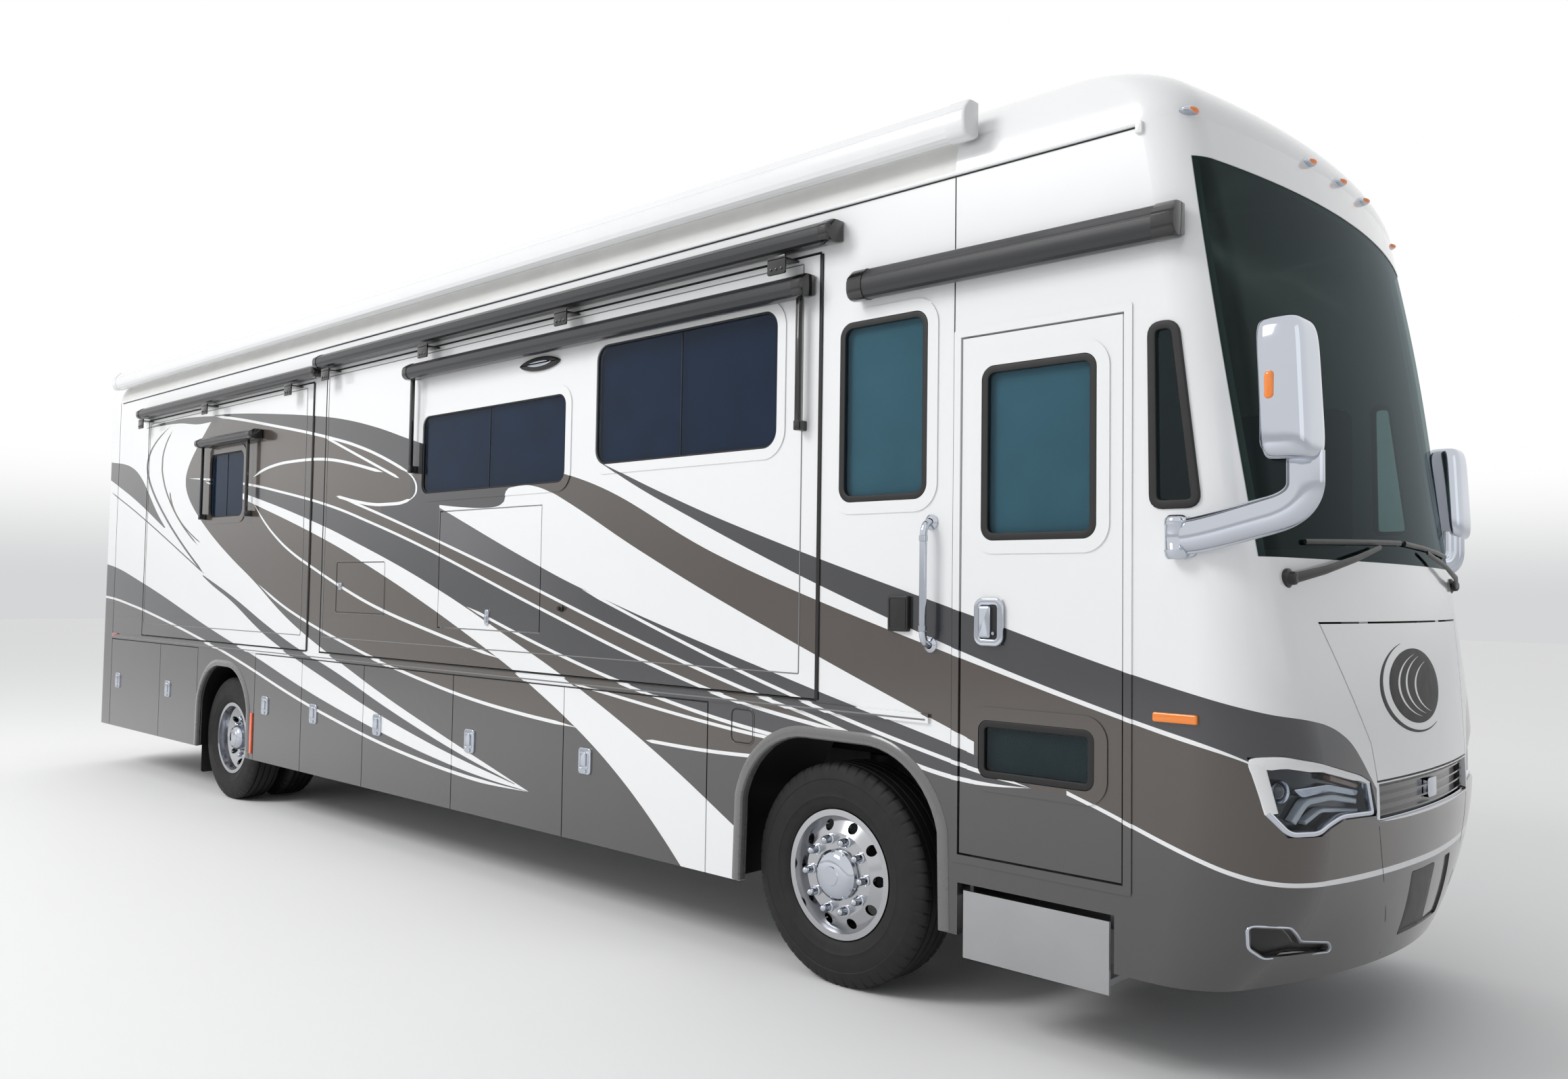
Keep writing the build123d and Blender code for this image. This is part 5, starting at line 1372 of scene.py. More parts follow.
@dataclass(frozen=True)
class WallFittings(Fitting):
    """Flush access lids, small latches, reflectors, the porch light, the gutter and the seals round the slide rooms."""

    def lid(self, shop: Workshop, name: str, box: tuple[float, ...], body: str) -> None:
        """A flush lid shown by the dark joint and the thin raised lip round it.

        Args:
            shop: Where it is made.
            name: Name of the pieces.
            box: Low x, high x, low z, high z and corner radius.
            body: What it rides on.
        """
        joint, lip = PieceMesh(f"{name}_joint"), PieceMesh(f"{name}_lip")
        joint.bead(SideSkin(), rounded_box(*box), bar_section(-0.003, 0.003, -0.004, 0.0012, 0.0005))
        lip.bead(SideSkin(), rounded_box(*box), bar_section(0.003, 0.011, -0.004, 0.003, 0.0025))
        shop.add(joint, "black_plastic", body)
        shop.add(lip, "body_paint", body)

    def build(self, shop: Workshop) -> None:
        """Builds them all.

        Args:
            shop: Where they are made.
        """
        skin = SideSkin()
        self.lid(shop, "fuel_lid", (3.215, 3.364, 1.092, 1.256, 0.03), ROOT)
        self.lid(shop, "access_lid", (-1.04, -0.33, 1.65, 2.02, 0.012), "slide_mid_right")
        small = PieceMesh("slide_small_latches")
        small.plate(skin, rounded_box(-0.99, -0.95, 1.815, 1.87, 0.008), -0.002, 0.014, 0.005)
        shop.add(small, "chrome", "slide_mid_right", sharp=50.0)
        latch = PieceMesh("locker_latch")
        latch.plate(skin, rounded_box(0.966, 1.006, 1.61, 1.71, 0.014), -0.002, 0.010, 0.004)
        latch.plate(skin, rounded_box(0.974, 0.998, 1.625, 1.675, 0.008), 0.008, 0.020, 0.006)
        shop.add(latch, "chrome", "locker_door", sharp=50.0)
        outlet = PieceMesh("slide_outlet")
        shape = ((-0.002, 0.0), (-0.002, 0.02), (0.010, 0.02), (0.014, 0.014), (0.030, 0.012), (0.033, 0.0))
        outlet.turned(shape, (1.765, -HALF_WIDTH, 1.732), 1, -1.0, 20)
        shop.add(outlet, "black_plastic", "slide_mid_right")
        reflector = PieceMesh("side_reflectors")
        for sign in SIDES:
            reflector.plate(SideSkin(sign), rounded_box(-2.462, -2.424, 0.455, 0.788, 0.008), -0.002, 0.011, 0.004)
        shop.add(reflector, "orange_reflector", ROOT)
        turn = whole_turn(40)
        eye = np.stack([1.50 + 0.2 * np.cos(turn), 3.215 + 0.042 * np.sin(turn) * np.abs(np.sin(turn)) ** 0.25], axis=-1)
        porch, lens = PieceMesh("porch_light"), PieceMesh("porch_light_lens")
        porch.plate(skin, eye, -0.002, 0.022, 0.010)
        lens.plate(skin, eye * (0.62, 0.5) + (1.52 * 0.38, 3.215 * 0.5), 0.012, 0.029, 0.008)
        shop.add(porch, "black_plastic", "slide_mid_right")
        shop.add(lens, "chrome", "slide_mid_right", sharp=50.0)
        gutter = PieceMesh("cap_gutters")
        for sign in SIDES:
            gutter.plate(SideSkin(sign), rounded_box(-5.76, 5.43, 3.676, 3.690, 0.004), -0.004, 0.013, 0.003)
            gutter.plate(SideSkin(sign), rounded_box(5.41, 5.44, 3.645, 3.692, 0.006), -0.004, 0.016, 0.004)
        shop.add(gutter, "awning_white", ROOT)
        # Dark lines: the one just under the gutter is painted shadow of the gutter; the two upright ones are dark
        # joints between panels.
        shade = PieceMesh("joints_and_gutter_shadow")
        for sign in SIDES:
            shade.plate(SideSkin(sign), rounded_box(-5.76, 5.42, 3.6705, 3.6755, 0.002, 2), -0.002, 0.004, 0.001)
            shade.plate(SideSkin(sign), rounded_box(4.557, 4.563, 1.20, 3.67, 0.002, 2), -0.002, 0.0012, 0.001)
            shade.plate(SideSkin(sign), rounded_box(-5.823, -5.817, 0.42, 3.69, 0.002, 2), -0.002, 0.0012, 0.001)
        shop.add(shade, "rubber_seal", ROOT)
        rooms = {
            "slide_rear_right": (-5.0, -1.51, 3.425, -1.0),
            "slide_mid_right": (-1.28, 3.77, 3.475, -1.0),
            "slide_left": (-1.28, 3.77, 3.475, 1.0),
        }
        seals, insert = PieceMesh("slide_seals"), PieceMesh("rub_rail_insert_and_highlight")
        for body, (x0, x1, top, sign) in rooms.items():
            outline = rounded_box(x0 - 0.009, x1 + 0.009, 1.336, top + 0.009, 0.002, 2)
            seals.bead(SideSkin(sign), outline, bar_section(-0.004, 0.003, -0.012, 0.002, 0.001))
            seals.plate(SideSkin(sign), rounded_box(x1 + 0.004, x1 + 0.026, 1.34, top, 0.004, 2), -0.004, 0.007, 0.003)
            flange = PieceMesh(f"{body}_flange")
            edge = rounded_box(x0 + 0.03, x1 - 0.105, 1.457, top - 0.03, 0.006, 2)
            flange.bead(SideSkin(sign), edge, bar_section(-0.003, 0.003, -0.002, 0.0022, 0.001))
            shop.add(flange, "joint_and_highlight_grey", body)
        # A grey insert strip along the middle of the rub rail, lighter than the rail: it is painted highlight of the
        # rail.
        for sign in SIDES:
            insert.plate(SideSkin(sign), rounded_box(-5.81, 4.43, 1.297, 1.3045, 0.003, 2), 0.008, 0.0155, 0.001)
        shop.add(seals, "rubber_seal", ROOT)
        shop.add(insert, "joint_and_highlight_grey", ROOT)


@dataclass(frozen=True)
class Pane:
    """A window: its box, corner radius, side, body and how it is trimmed."""

    box: tuple[float, float, float, float]
    radius: float
    sign: float
    body: str
    seal: float = 0.010
    blind: str = "blind_dark"
    divider: float | None = None


PANES = (
    Pane((-3.47, -2.76, 2.43, 2.99), 0.07, -1.0, "slide_rear_right", divider=-3.115),
    Pane((0.15, 1.77, 2.48, 3.01), 0.07, -1.0, "slide_mid_right", divider=0.955),
    Pane((2.06, 3.50, 2.56, 3.25), 0.09, -1.0, "slide_mid_right", divider=2.78),
    Pane((-0.70, 0.70, 2.48, 3.11), 0.08, 1.0, "slide_left", divider=0.0),
    Pane((1.70, 3.30, 2.48, 3.11), 0.08, 1.0, "slide_left", divider=2.5),
    Pane((3.91, 4.42, 2.268, 3.113), 0.07, -1.0, "coach_body", 0.030, "blind_pale"),
    Pane((-4.60, -3.70, 2.43, 2.99), 0.07, 1.0, "coach_body", divider=-4.15),
    Pane((-2.90, -2.00, 2.43, 2.99), 0.07, 1.0, "coach_body", divider=-2.45),
    Pane((4.68, 5.38, 2.13, 2.89), 0.08, 1.0, "coach_body", 0.030, "blind_pale"),
    Pane((4.705, 5.246, 2.076, 2.818), 0.06, -1.0, "entry_door", 0.032, "blind_pale"),
    Pane((4.70, 5.24, 1.085, 1.325), 0.045, -1.0, "entry_door", 0.030, "blind_grey"),
)


@dataclass(frozen=True)
class WindowTrim(Fitting):
    """Black seals, dividers and drawn blinds of the windows."""

    blind_depths: Point = (-0.034, -0.030)
    glass_depth: float = -0.0078
    quarter: Curve = ((5.478, 2.193), (5.659, 2.193), (5.572, 2.888), (5.469, 2.888))

    def build(self, shop: Workshop) -> None:
        """Builds the trim of each pane.

        Args:
            shop: Where it is made.
        """
        seals: dict[str, PieceMesh] = {}
        for index, pane in enumerate(PANES, 1):
            skin = SideSkin(pane.sign)
            x0, x1, z0, z1 = pane.box
            mesh = seals.setdefault(pane.body, PieceMesh(f"window_seals_{pane.body}"))
            edge = rounded_box(x0, x1, z0, z1, pane.radius)
            mesh.bead(skin, edge, bar_section(-pane.seal, -0.0005, self.glass_depth, 0.0055 if pane.seal > 0.02 else 0.001, 0.004))
            if pane.divider is not None:
                bar = rounded_box(pane.divider - 0.004, pane.divider + 0.004, z0 + 0.006, z1 - 0.006, 0.001, 2)
                mesh.plate(skin, bar, self.glass_depth, -0.0045, 0.001)
            blind = PieceMesh(f"blind_{index}")
            blind.plate(skin, rounded_box(x0 + 0.003, x1 - 0.003, z0 + 0.003, z1 - 0.003, pane.radius), *self.blind_depths, 0.001)
            shop.add(blind, pane.blind, pane.body)
        frame = seals["coach_body"]
        for sign in SIDES:
            frame.bead(SideSkin(sign), soften(self.quarter, 0.045), bar_section(-0.022, 0.012, self.glass_depth, 0.009, 0.005))
        for body, mesh in seals.items():
            shop.add(mesh, "rubber_seal", body)


@dataclass(frozen=True)
class Awning(Fitting):
    """An awning case: an extruded profile with a crease and a groove, between two moulded ends."""

    name: str
    span: tuple[float, float, float, float]
    back: float
    depth: float
    body: str
    node: str
    skin: str = "awning_dark"
    ends: str = "gloss_black"
    arms: tuple[float, ...] = ()
    arm_low: float = 0.0
    end_length: float = 0.06
    shape: Curve = (
        (0.0, 0.99), (0.30, 1.0), (0.52, 0.985), (0.62, 0.95), (0.90, 0.73), (0.955, 0.665), (0.945, 0.645), (0.945, 0.605),
        (0.985, 0.585), (0.99, 0.46), (0.985, 0.33), (0.95, 0.20), (0.86, 0.08), (0.72, 0.015), (0.5, 0.0), (0.25, 0.03), (0.0, 0.12),
    )

    def profile(self, grow: float) -> np.ndarray:
        """The case's section as shares of its depth and height.

        Args:
            grow: How much proud of the case it stands, in metres.

        Returns:
            Distance out of the wall and height, from the top at the wall round to the foot.
        """
        shares = np.array(self.shape)
        _, _, z0, z1 = self.span
        middle = (z0 + z1) / 2
        out = self.back + shares[:, 0] * (self.depth - 0.006) + grow * shares[:, 0]
        rise = z0 + 0.004 + shares[:, 1] * (z1 - z0 - 0.008)
        return np.stack([out, rise + grow * np.sign(rise - middle)], axis=-1)

    def build(self, shop: Workshop) -> None:
        """Builds the case, its ends and its folded arms.

        Args:
            shop: Where they are made.
        """
        x0, x1, z0, _ = self.span
        case, ends = PieceMesh(self.name), PieceMesh(f"{self.name}_ends")
        line = self.profile(0.0)
        rows = [np.stack([np.full(len(line), x), -(HALF_WIDTH + line[:, 0]), line[:, 1]], axis=-1) for x in (x0 + 0.01, x1 - 0.01)]
        case.grid(np.array(rows), wrap_columns=True)
        case.lid(rows[0])
        case.lid(rows[-1])
        for tip, way in ((x0, 1.0), (x1, -1.0)):
            rows = []
            middle = np.array([self.back + self.depth * 0.5, (self.span[2] + self.span[3]) / 2])
            for step, size in ((self.end_length, 1.0), (0.018, 1.0), (0.008, 0.975), (0.002, 0.92), (0.0, 0.86)):
                ring = (self.profile(0.003) - middle) * size + middle
                ring[:, 0] = np.maximum(ring[:, 0], self.back)
                rows.append(np.stack([np.full(len(ring), tip + way * step), -(HALF_WIDTH + ring[:, 0]), ring[:, 1]], axis=-1))
            ends.grid(np.array(rows), wrap_columns=True)
            ends.lid(rows[0])
            ends.lid(rows[-1])
        for x in self.arms:
            ends.plate(SideSkin(), rounded_box(x - 0.014, x + 0.014, self.arm_low, z0 + 0.03, 0.006), 0.037, 0.060, 0.006)
            pivot = rounded_box(x - 0.018, x + 0.018, self.arm_low - 0.025, self.arm_low + 0.025, 0.008)
            ends.plate(SideSkin(), pivot, 0.0004, 0.062, 0.006)
        shop.add(case, self.skin, self.body, (self.node,), 12.0)
        shop.add(ends, self.ends, self.body, (self.node,), 40.0)


AWNINGS = (
    Awning(
        "roof_awning_case", (-5.76, 4.68, 3.795, 3.975), 0.002, 0.12, "coach_body", "roof_awning",
        "awning_white", "awning_white", end_length=0.10,
    ),
    Awning("topper_rear", (-5.06, -1.31, 3.44, 3.55), 0.0, 0.12, "coach_body", "awning_cases"),
    Awning("topper_mid", (-1.305, 3.92, 3.492, 3.61), 0.0, 0.13, "coach_body", "awning_cases"),
    Awning("door_awning", (4.02, 5.61, 3.19, 3.34), 0.0, 0.11, "coach_body", "awning_cases", end_length=0.09),
    Awning(
        "window_awning_case_rear", (-3.56, -2.40, 3.05, 3.14), 0.0063, 0.12, "slide_rear_right", "window_awning_rear",
        arms=(-3.544, -2.59), arm_low=2.44,
    ),
    Awning(
        "window_awning_case_mid", (0.04, 3.75, 3.26, 3.38), 0.0063, 0.12, "slide_mid_right", "window_awning_mid",
        arms=(0.07, 3.68), arm_low=2.65,
    ),
)


@dataclass(frozen=True)
class TopperBrackets(Fitting):
    """Black brackets that join the toppers' fabric to the slide rooms' upper edges."""

    rear: tuple[float, ...] = (-4.948, -3.403, -1.753)
    mid: tuple[float, ...] = (-1.127, 0.278, 1.824, 3.574)
    screw: Curve = ((0.100, 0.008), (0.107, 0.008), (0.109, 0.005), (0.109, 0.0))

    def build(self, shop: Workshop) -> None:
        """Builds a shelf, a hanging plate and its screws at each place.

        Args:
            shop: Where they are made.
        """
        for body, places, top in (("slide_rear_right", self.rear, 3.425), ("slide_mid_right", self.mid, 3.475)):
            mesh = PieceMesh(f"topper_brackets_{body}")
            for x in places:
                mesh.plate(SideSkin(), rounded_box(x - 0.06, x + 0.06, top - 0.016, top - 0.006, 0.003, 2), -0.002, 0.104, 0.003)
                mesh.plate(SideSkin(), rounded_box(x - 0.06, x + 0.06, top - 0.085, top + 0.008, 0.010), 0.094, 0.104, 0.003)
                for step in (-0.035, 0.0, 0.035):
                    mesh.turned(self.screw, (x + step, -HALF_WIDTH, top - 0.06), 1, -1.0, 12)
            shop.add(mesh, "gloss_black", body)


@dataclass(frozen=True)
class Headlights(Fitting):
    """Both headlights: white brow, chrome chin, dark tub, projector, stepped light bars, amber reflector and cover."""

    brow: Curve = ((1.196, 1.073), (1.236, 1.277), (1.160, 1.285), (1.013, 1.256), (0.738, 1.191), (0.664, 1.161))
    chin: Curve = ((0.664, 1.161), (0.618, 1.027), (0.857, 1.036), (0.946, 1.013), (1.006, 0.989), (1.137, 0.992), (1.196, 1.073))
    wing: Curve = ((1.10, 1.16), (1.06, 1.125), (0.90, 1.137), (0.70, 1.102), (0.68, 1.125), (0.90, 1.166))
    upper_bar: Curve = ((1.103, 1.039), (1.046, 1.112), (0.896, 1.118), (0.72, 1.088))
    lower_bar: Curve = ((1.048, 1.036), (0.958, 1.075), (0.70, 1.050))
    amber: Curve = ((0.90, 1.200), (0.70, 1.150), (0.71, 1.134), (0.90, 1.178))
    bezel: Curve = ((0.040, 0.000), (0.044, 0.022), (0.040, 0.030), (0.034, 0.024), (0.031, 0.006))
    lens: Curve = ((0.031, 0.004), (0.029, 0.014), (0.022, 0.024), (0.012, 0.029), (0.0, 0.031))

    def strip(self, points: Curve, sign: float, wide: float) -> np.ndarray:
        """Outline of a bar of even width along a path.

        Args:
            points: The path in distance from the middle and height.
            sign: Side.
            wide: Its width.

        Returns:
            The outline.
        """
        path = soften([(sign * y, z) for y, z in points], 0.03, closed=False)
        ways = outward(path, closed=False)
        return anticlockwise(np.vstack([path + ways * wide / 2, (path - ways * wide / 2)[::-1]]))

    def build(self, shop: Workshop) -> None:
        """Builds both lamps.

        Args:
            shop: Where they are made.
        """
        skin = PlanSkin()
        finishes = {
            "brows": "awning_white", "chins": "chrome", "tubs": "gloss_black", "bars": "clear_lens",
            "rings": "chrome", "lenses": "dark_lens", "ambers": "amber_dull", "covers": "clear_cover",
        }
        parts = {name: PieceMesh(f"headlight_{name}") for name in finishes}
        for sign in SIDES:
            whole = on_side(self.brow[:-1] + self.chin[:-1], sign, 0.035)
            ways = outward(whole)
            parts["tubs"].plate(skin, whole - ways * 0.008, -0.090, -0.060, 0.002, 0.04)
            parts["tubs"].bead(skin, whole, bar_section(-0.010, -0.001, -0.085, -0.004, 0.001))
            for name, points, wide, taper in (("brows", self.brow, 0.050, 0.3), ("chins", self.chin, 0.020, 1.0)):
                path = soften([(sign * y, z) for y, z in points], 0.035, closed=False)
                low, high = (-wide, 0.0) if sign > 0 else (0.0, wide)
                scale = np.interp(np.arange(len(path)), (0, 8, len(path) - 1), (0.7, 1.0, taper)) if name == "brows" else 1.0
                parts[name].bead(skin, path, bar_section(low, high, -0.018, 0.0075, 0.006), closed=False, scale=scale)
            parts["bars"].plate(skin, self.strip(self.upper_bar, sign, 0.022), -0.055, -0.016, 0.006, 0.03)
            parts["bars"].plate(skin, self.strip(self.lower_bar, sign, 0.016), -0.055, -0.022, 0.005, 0.03)
            parts["rings"].plate(skin, on_side(self.wing, sign, 0.02), -0.055, -0.026, 0.005, 0.03)
            middle = skin.spot(sign * 1.150, 1.150, -0.052)
            _, _, _, ahead, aside = skin.normals(np.array([sign * 1.05]))
            angles = whole_turn(40)[:, None]
            out = np.array([ahead[0], aside[0], 0.0])
            ring = np.cos(angles) * np.array([-aside[0], ahead[0], 0.0]) + np.sin(angles) * np.array([0.0, 0.0, 1.0])
            for name, turns in (("rings", self.bezel), ("lenses", self.lens)):
                rows = [middle + out * rise + radius * ring for radius, rise in turns]
                parts[name].grid(np.array(rows), wrap_columns=True)
            parts["ambers"].plate(skin, on_side(self.amber, sign, 0.008), -0.050, -0.020, 0.003, 0.04)
            parts["covers"].plate(skin, whole - ways * 0.012, -0.010, -0.006, 0.001, 0.04)
        for name, mesh in parts.items():
            shop.add(mesh, finishes[name], ROOT, ("headlights",), 40.0)


@dataclass(frozen=True)
class NoseTrim(Fitting):
    """Grille edge, vent liners and rims, plate panel and wipers of the nose."""

    emblem: tuple[tuple[str, str, tuple[tuple[float, ...], ...]], ...] = (
        ("dark", "rubber_seal", ((-0.10, 1.50, 0.385, 0.185, 110.0, 300.0, 0.08),)),
        ("pale", "awning_white", (
            (0.02, 1.50, 0.335, 0.135, 110.0, 250.0, 0.05),
            (0.10, 1.50, 0.335, 0.130, 115.0, 245.0, 0.05),
            (0.20, 1.49, 0.335, 0.120, 120.0, 240.0, 0.05),
        )),
    )
    seam: Curve = ((0.605, 0.985), (0.585, 0.90), (0.547, 0.80), (0.45, 0.62), (0.359, 0.44))
    vent: Curve = (
        (1.190, 0.661), (1.071, 0.651), (1.026, 0.617), (0.990, 0.587),
        (0.817, 0.558), (0.782, 0.526), (1.119, 0.546), (1.172, 0.584),
    )
    wiper_foot: Curve = ((-0.03, 0.0), (-0.03, 0.036), (0.006, 0.036), (0.012, 0.026), (0.030, 0.024), (0.036, 0.016), (0.036, 0.0))
    wiper_arm: Curve = ((0.0, 0.024), (0.25, 0.05), (0.6, 0.045), (1.0, 0.012))
    wiper_blade: Curve = ((0.92, 2.066), (0.62, 2.076), (0.32, 2.086), (0.03, 2.094))

    @staticmethod
    def stroke(y: float, z: float, wide: float, high: float, start: float, end: float, width: float) -> np.ndarray:
        """Outline of a crescent on an oval, widest in its middle and pointed at its ends.

        Args:
            y: Middle of the oval across.
            z: Height of its middle.
            wide: Half its width.
            high: Half its height.
            start: Angle of one end, in degrees.
            end: Angle of the other end, in degrees.
            width: Width in the middle as a share of the oval.

        Returns:
            The outline.
        """
        turn = np.radians(np.linspace(start, end, 33))
        swell = width / 2 * np.sin(np.linspace(0.0, math.pi, 33)) + 0.002
        outer = np.stack([y + wide * (1 + swell) * np.cos(turn), z + high * (1 + swell) * np.sin(turn)], axis=-1)
        inner = np.stack([y + wide * (1 - swell) * np.cos(turn), z + high * (1 - swell) * np.sin(turn)], axis=-1)
        return anticlockwise(np.concatenate([outer, inner[::-1]]))

    def build(self, shop: Workshop) -> None:
        """Builds them all.

        Args:
            shop: Where they are made.
        """
        skin = CastSkin(shop.nodes, "front_cap", "hood", "windscreen")
        rims, liners = PieceMesh("vent_rims"), PieceMesh("vent_liners")
        for sign in SIDES:
            outline = on_side(self.vent, sign, 0.016)
            rims.bead(skin, outline, bar_section(0.003, 0.011, -0.004, 0.0045, 0.003))
            liners.sheet(skin, outline - outward(outline) * 0.004, 0.0015, 0.03)
        shop.add(rims, "chrome", ROOT, sharp=50.0)
        shop.add(liners, "black_plastic", ROOT)
        plate = PieceMesh("plate_panel")
        plate.plate(skin, rounded_box(-0.262, 0.040, 0.508, 0.757, 0.012), 0.0, 0.004, 0.002, 0.04)
        shop.add(plate, "black_plastic", ROOT)
        edge = PieceMesh("grille_edge")
        path = np.stack([np.linspace(-0.60, 0.60, 41), np.full(41, 1.006)], axis=-1)
        edge.bead(PlanSkin(), path, bar_section(-0.002, 0.005, -0.018, 0.003, 0.002), closed=False)
        shop.add(edge, "chrome", ROOT, sharp=50.0)
        badge = PieceMesh("grille_badge")
        badge.plate(PlanSkin(), rounded_box(-0.055, 0.055, 1.035, 1.115, 0.012), -0.022, 0.0, 0.003)
        shop.add(badge, "chrome", ROOT, sharp=50.0)
        seams = PieceMesh("nose_seams")
        for sign in SIDES:
            line = soften([(sign * y, z) for y, z in self.seam], 0.03, closed=False)
            seams.bead(skin, line, bar_section(-0.0015, 0.0015, -0.003, 0.0006, 0.0003), closed=False)
        shop.add(seams, "rubber_seal", ROOT)
        hood = CastSkin(shop.nodes, "hood")
        for name, finish, strokes in self.emblem:
            mesh = PieceMesh(f"hood_emblem_{name}")
            lines = [self.stroke(*stroke) for stroke in strokes]
            if name == "dark":
                lines.insert(0, circle(1.0, 48) * (0.30, 0.152) + (-0.11, 1.50))
            for line in lines:
                mesh.plate(hood, line, -0.001, 0.0024 if name == "pale" else 0.0012, 0.0005, 0.05)
            shop.add(mesh, finish, "hood")
        wiper = PieceMesh("wiper_set")
        for sign in SIDES:
            foot = skin.spot(sign * 1.06, 1.926, 0.0)
            tip = skin.spot(sign * 0.32, 2.065, 0.012)
            wiper.turned(self.wiper_foot, tuple(foot), 0, 1.0, 28)
            path = [foot * (1 - share) + tip * share + (proud, 0.0, 0.0) for share, proud in self.wiper_arm]
            widths = np.linspace(1.0, 0.5, 4)[:, None, None] * circle(0.020, 14, 0.55)[None]
            wiper.tube(np.array(path), widths, (0.0, 0.0, 1.0))
            ends = [skin.spot(sign * y, z, 0.010) for y, z in self.wiper_blade]
            wiper.tube(np.array(ends), circle(0.011, 12, 0.6), (0.0, 0.0, 1.0))
        shop.add(wiper, "black_plastic", ROOT, ("wipers",))


@dataclass(frozen=True)
class Lamps(Fitting):
    """Amber clearance lamps on chrome feet, amber side markers and red tail lamps."""

    def build(self, shop: Workshop) -> None:
        """Builds the lamps at the places of the CAD blocks.

        Args:
            shop: Where they are made.
        """
        amber, feet, red = PieceMesh("amber_lamps"), PieceMesh("lamp_feet"), PieceMesh("tail_lamps")
        skin, back = CastSkin(shop.nodes, "front_cap"), CrossSkin(TAIL_X + 0.018, -1.0)
        for y in (-1.195, -0.34, 0.0, 0.34, 1.195):
            spot = skin.spot(y, 3.715, 0.0)
            for mesh, size, lift in ((feet, (0.050, 0.048, 0.017), 0.0), (amber, (0.038, 0.040, 0.013), 0.012)):
                up = np.linspace(-0.5 * math.pi, 0.5 * math.pi, 13)[:, None]
                turn = whole_turn(28)[None, :]
                x = spot[0] - 0.004 + lift + size[0] * 0.7 * np.cos(up) * np.cos(turn)
                rows = [x, y + size[1] * np.cos(up) * np.sin(turn), 3.718 + size[2] * np.sin(up) + 0 * turn]
                mesh.grid(np.stack(rows, axis=-1), wrap_columns=True)
        for sign in SIDES:
            amber.plate(SideSkin(sign), rounded_box(5.484, 5.659, 1.382, 1.418, 0.008), 0.0, 0.0145, 0.006)
            red.plate(SideSkin(sign), rounded_box(-5.80, -5.66, 1.302, 1.335, 0.008), 0.0, 0.0145, 0.006)
            panel = rounded_box(sign * 1.01 - 0.058, sign * 1.01 + 0.058, 0.902, 1.498, 0.02)
            red.plate(back, panel, 0.0, 0.0175, 0.006)
            for z in (1.08, 1.20, 1.32):
                ring = rounded_box(sign * 1.01 - 0.045, sign * 1.01 + 0.045, z - 0.045, z + 0.045, 0.044, 8)
                red.bead(back, ring, bar_section(-0.006, 0.0, 0.012, 0.0178, 0.002))
        shop.add(feet, "chrome", ROOT, ("lamps",), 50.0)
        shop.add(amber, "amber_lens", ROOT, ("lamps",))
        shop.add(red, "red_lens", ROOT, ("lamps",))


@dataclass(frozen=True)
class WheelSet(Fitting):
    """One wheel's tyres and wheel-nut covers. Places are the tyre's middle; the twins add an inner tyre."""

    body: str
    x: float
    y: float
    sign: float
    half: float
    disc: float
    hub: Curve
    node: str
    twin: float = 0.0
    sidewall: Curve = (
        (0.036, 0.3045), (0.024, 0.311), (0.017, 0.322), (0.0145, 0.326), (0.012, 0.331), (0.007, 0.345), (0.0035, 0.362),
        (0.0005, 0.366), (0.002, 0.371), (0.0005, 0.390), (0.0, 0.405), (0.0015, 0.430), (0.0035, 0.444), (0.001, 0.448),
        (0.002, 0.454), (0.0065, 0.468), (0.011, 0.482), (0.017, 0.496), (0.023, 0.506), (0.031, 0.514), (0.040, 0.5195),
    )
    cover: Curve = (
        (0.0, 0.0), (0.0, 0.026), (0.006, 0.026), (0.009, 0.020), (0.040, 0.0185), (0.052, 0.015), (0.058, 0.008), (0.060, 0.0),
    )
    nuts: int = 10
    nut_circle: float = 0.1675

    def tyre(self, mesh: PieceMesh, y: float) -> None:
        """A tyre: sidewall with rings, shoulder with lugs and four grooves in the tread.

        Args:
            mesh: What it is added to.
            y: Its middle.
        """
        half = self.half
        side = [(half - inset, radius) for inset, radius in self.sidewall]
        tread = []
        for middle in (0.075, 0.026):
            tread += [(middle + 0.0065, 0.5197), (middle + 0.0045, 0.507), (middle - 0.0045, 0.507), (middle - 0.0065, 0.5197)]
        right = side + tread
        profile = right + [(-along, radius) for along, radius in reversed(right)] + [(-half + 0.036, 0.29), (half - 0.036, 0.29), right[0]]
        lugs = {index for index, (along, radius) in enumerate(profile) if abs(along) > half - 0.05 and radius > 0.48}
        wobble = lambda index, angles: -0.007 * (np.cos(angles * 54) > 0.72) if index in lugs else 0.0
        mesh.turned(profile, (self.x, y, AXLE_HEIGHT), 1, self.sign, 432, wobble)

    def build(self, shop: Workshop) -> None:
        """Builds tyres and nut covers.

        Args:
            shop: Where they are made.
        """
        tyres = PieceMesh(f"tread_{self.node}")
        self.tyre(tyres, self.y)
        if self.twin:
            self.tyre(tyres, self.y - self.sign * self.twin)
        shop.add(tyres, "tyre_rubber", self.body, (self.node,), 28.0)
        trim = PieceMesh(f"nuts_{self.node}")
        cover = [(self.disc + along, radius) for along, radius in self.cover]
        for step in range(self.nuts):
            angle = 2 * math.pi * step / self.nuts
            centre = (self.x + self.nut_circle * math.cos(angle), self.y, AXLE_HEIGHT + self.nut_circle * math.sin(angle))
            trim.turned(cover, centre, 1, self.sign, 20)
        trim.turned(self.hub, (self.x, self.y, AXLE_HEIGHT), 1, self.sign, 64)
        shop.add(trim, "chrome", self.body, sharp=50.0)


